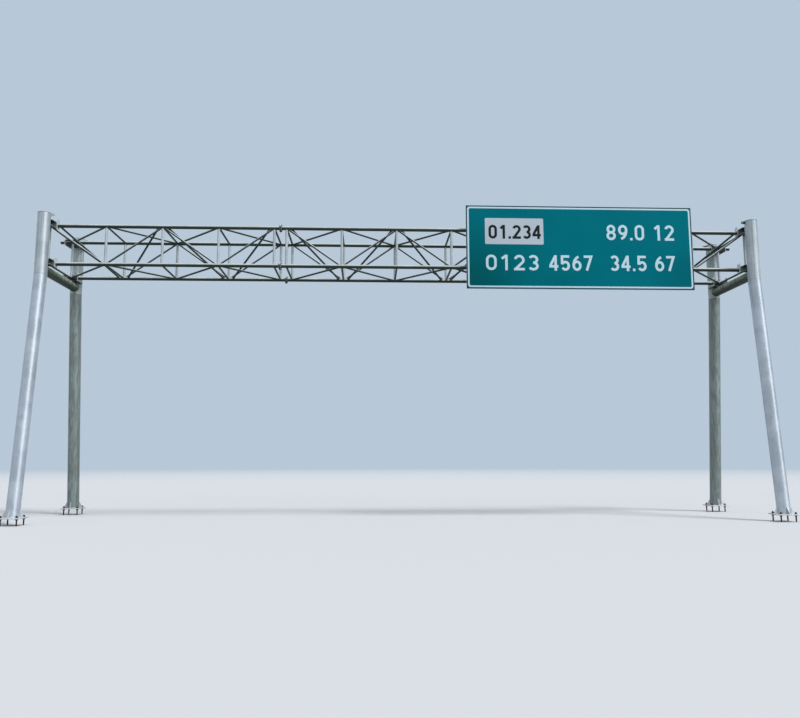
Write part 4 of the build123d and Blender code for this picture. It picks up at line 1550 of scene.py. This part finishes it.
def makeSignBack():
    wall, depth, soft = sign["frameWall"], sign["frameDepth"], sign["frameSoft"]
    middle = (postFront + panelBack) / 2
    rim = plate(
        roundedRect(signWide, signTall, sign["frameCorner"], steps=1),
        [roundedRect(signWide - 2 * wall, signTall - 2 * wall, sign["frameHole"], steps=1)],
        depth, soft, upright(signX, middle, signZ), millAluminium,
    )
    lip = plate(
        roundedRect(signWide - wall, signTall - wall, sign["frameCorner"], steps=1),
        [roundedRect(signWide - 2 * depth, signTall - 2 * depth, sign["lipHole"], steps=1)],
        wall, soft, upright(signX, panelBack + wall / 2, signZ), millAluminium,
    )
    finishPiece("signEdgeFrame", [rim, lip], "sign_frame", "sign_edge_frame")
    length = signWide - 2 * (depth + sign["ribGap"])
    tall, ribWall = sign["ribHeight"], sign["ribWall"]
    section = roundedRect(depth, tall, sign["ribCorner"])
    hollow = roundedRect(depth - 2 * ribWall, tall - 2 * ribWall, sign["ribHole"])
    ribs = []
    for rib in range(sign["ribs"]):
        z = signZ + (signTall - 2 * sign["ribMargin"]) * (rib / (sign["ribs"] - 1) - 0.5)
        place = axes((signX, middle, z), (0, 1, 0), (1, 0, 0))
        ribs.append(plate(section, [hollow], length, sign["ribSoft"], place, millAluminium))
    finishPiece("signRibs", ribs, "sign_frame", "sign_ribs")
    size, height = sign["postSize"], signTall - 2 * sign["postSetback"]
    section = roundedRect(size, size, sign["postCorner"])
    hollow = roundedRect(size - 2 * sign["postWall"], size - 2 * sign["postWall"], sign["postHole"])
    posts = []
    for x in postPlaces:
        place = Matrix.Translation((x, (postBack + postFront) / 2, signZ))
        posts.append(plate(section, [hollow], height, sign["postSoft"], place, cheekZinc))
    finishPiece("signPosts", posts, "truss_steel", "sign_posts")


signBolt = {
    "spacing": 0.15, "radius": 0.008, "hole": 0.010, "holeSides": 16, "nutWidth": 0.026, "nutHeight": 0.013,
    "washer": 0.0025, "tip": 0.022, "pitch": 0.002, "depth": 0.001,
}


def makeSaddles():
    tall, inset = sign["saddleHeight"], sign["saddleBeadInset"]
    outline = roundedRect(sign["saddleWidth"], tall, sign["saddleCorner"])
    holes = boltHoles(signBolt, 0, lambda reach: reach, signBolt["holeSides"])
    plates, places, lines = [], [], []
    for x in postPlaces:
        for z in levels:
            place = upright(x, (saddleBack + postBack) / 2, z)
            plates.append(plate(outline, holes, sign["saddleThick"], sign["saddleSoft"], place, cheekZinc))
            for way in (-1, 1):
                start = Vector((x + way * sign["postSize"] / 2, postBack, z - tall / 2 + inset))
                finish = start + Vector((0, 0, tall - 2 * inset))
                lines.append(straightBead(start, finish, sign["saddleBeadSteps"], sign["saddleBead"]))
                spot = (x + way * signBolt["spacing"] / 2, -truss["halfDepth"], z)
                places.append(axes(spot, (0, 0, 1), (1, 0, 0)))
    plates.append(beads(lines))
    finishPiece("signSaddles", plates, "truss_steel", "sign_saddle_plates")
    makeBentBolts("signBolts", signBolt, places, sign["saddleThick"], (0, -1, 0), "sign_u_bolts")


makePanel()
makeLegend()
makeRivets()
makeSignBack()
makeSaddles()
print("sign done")

bpy.context.view_layer.update()
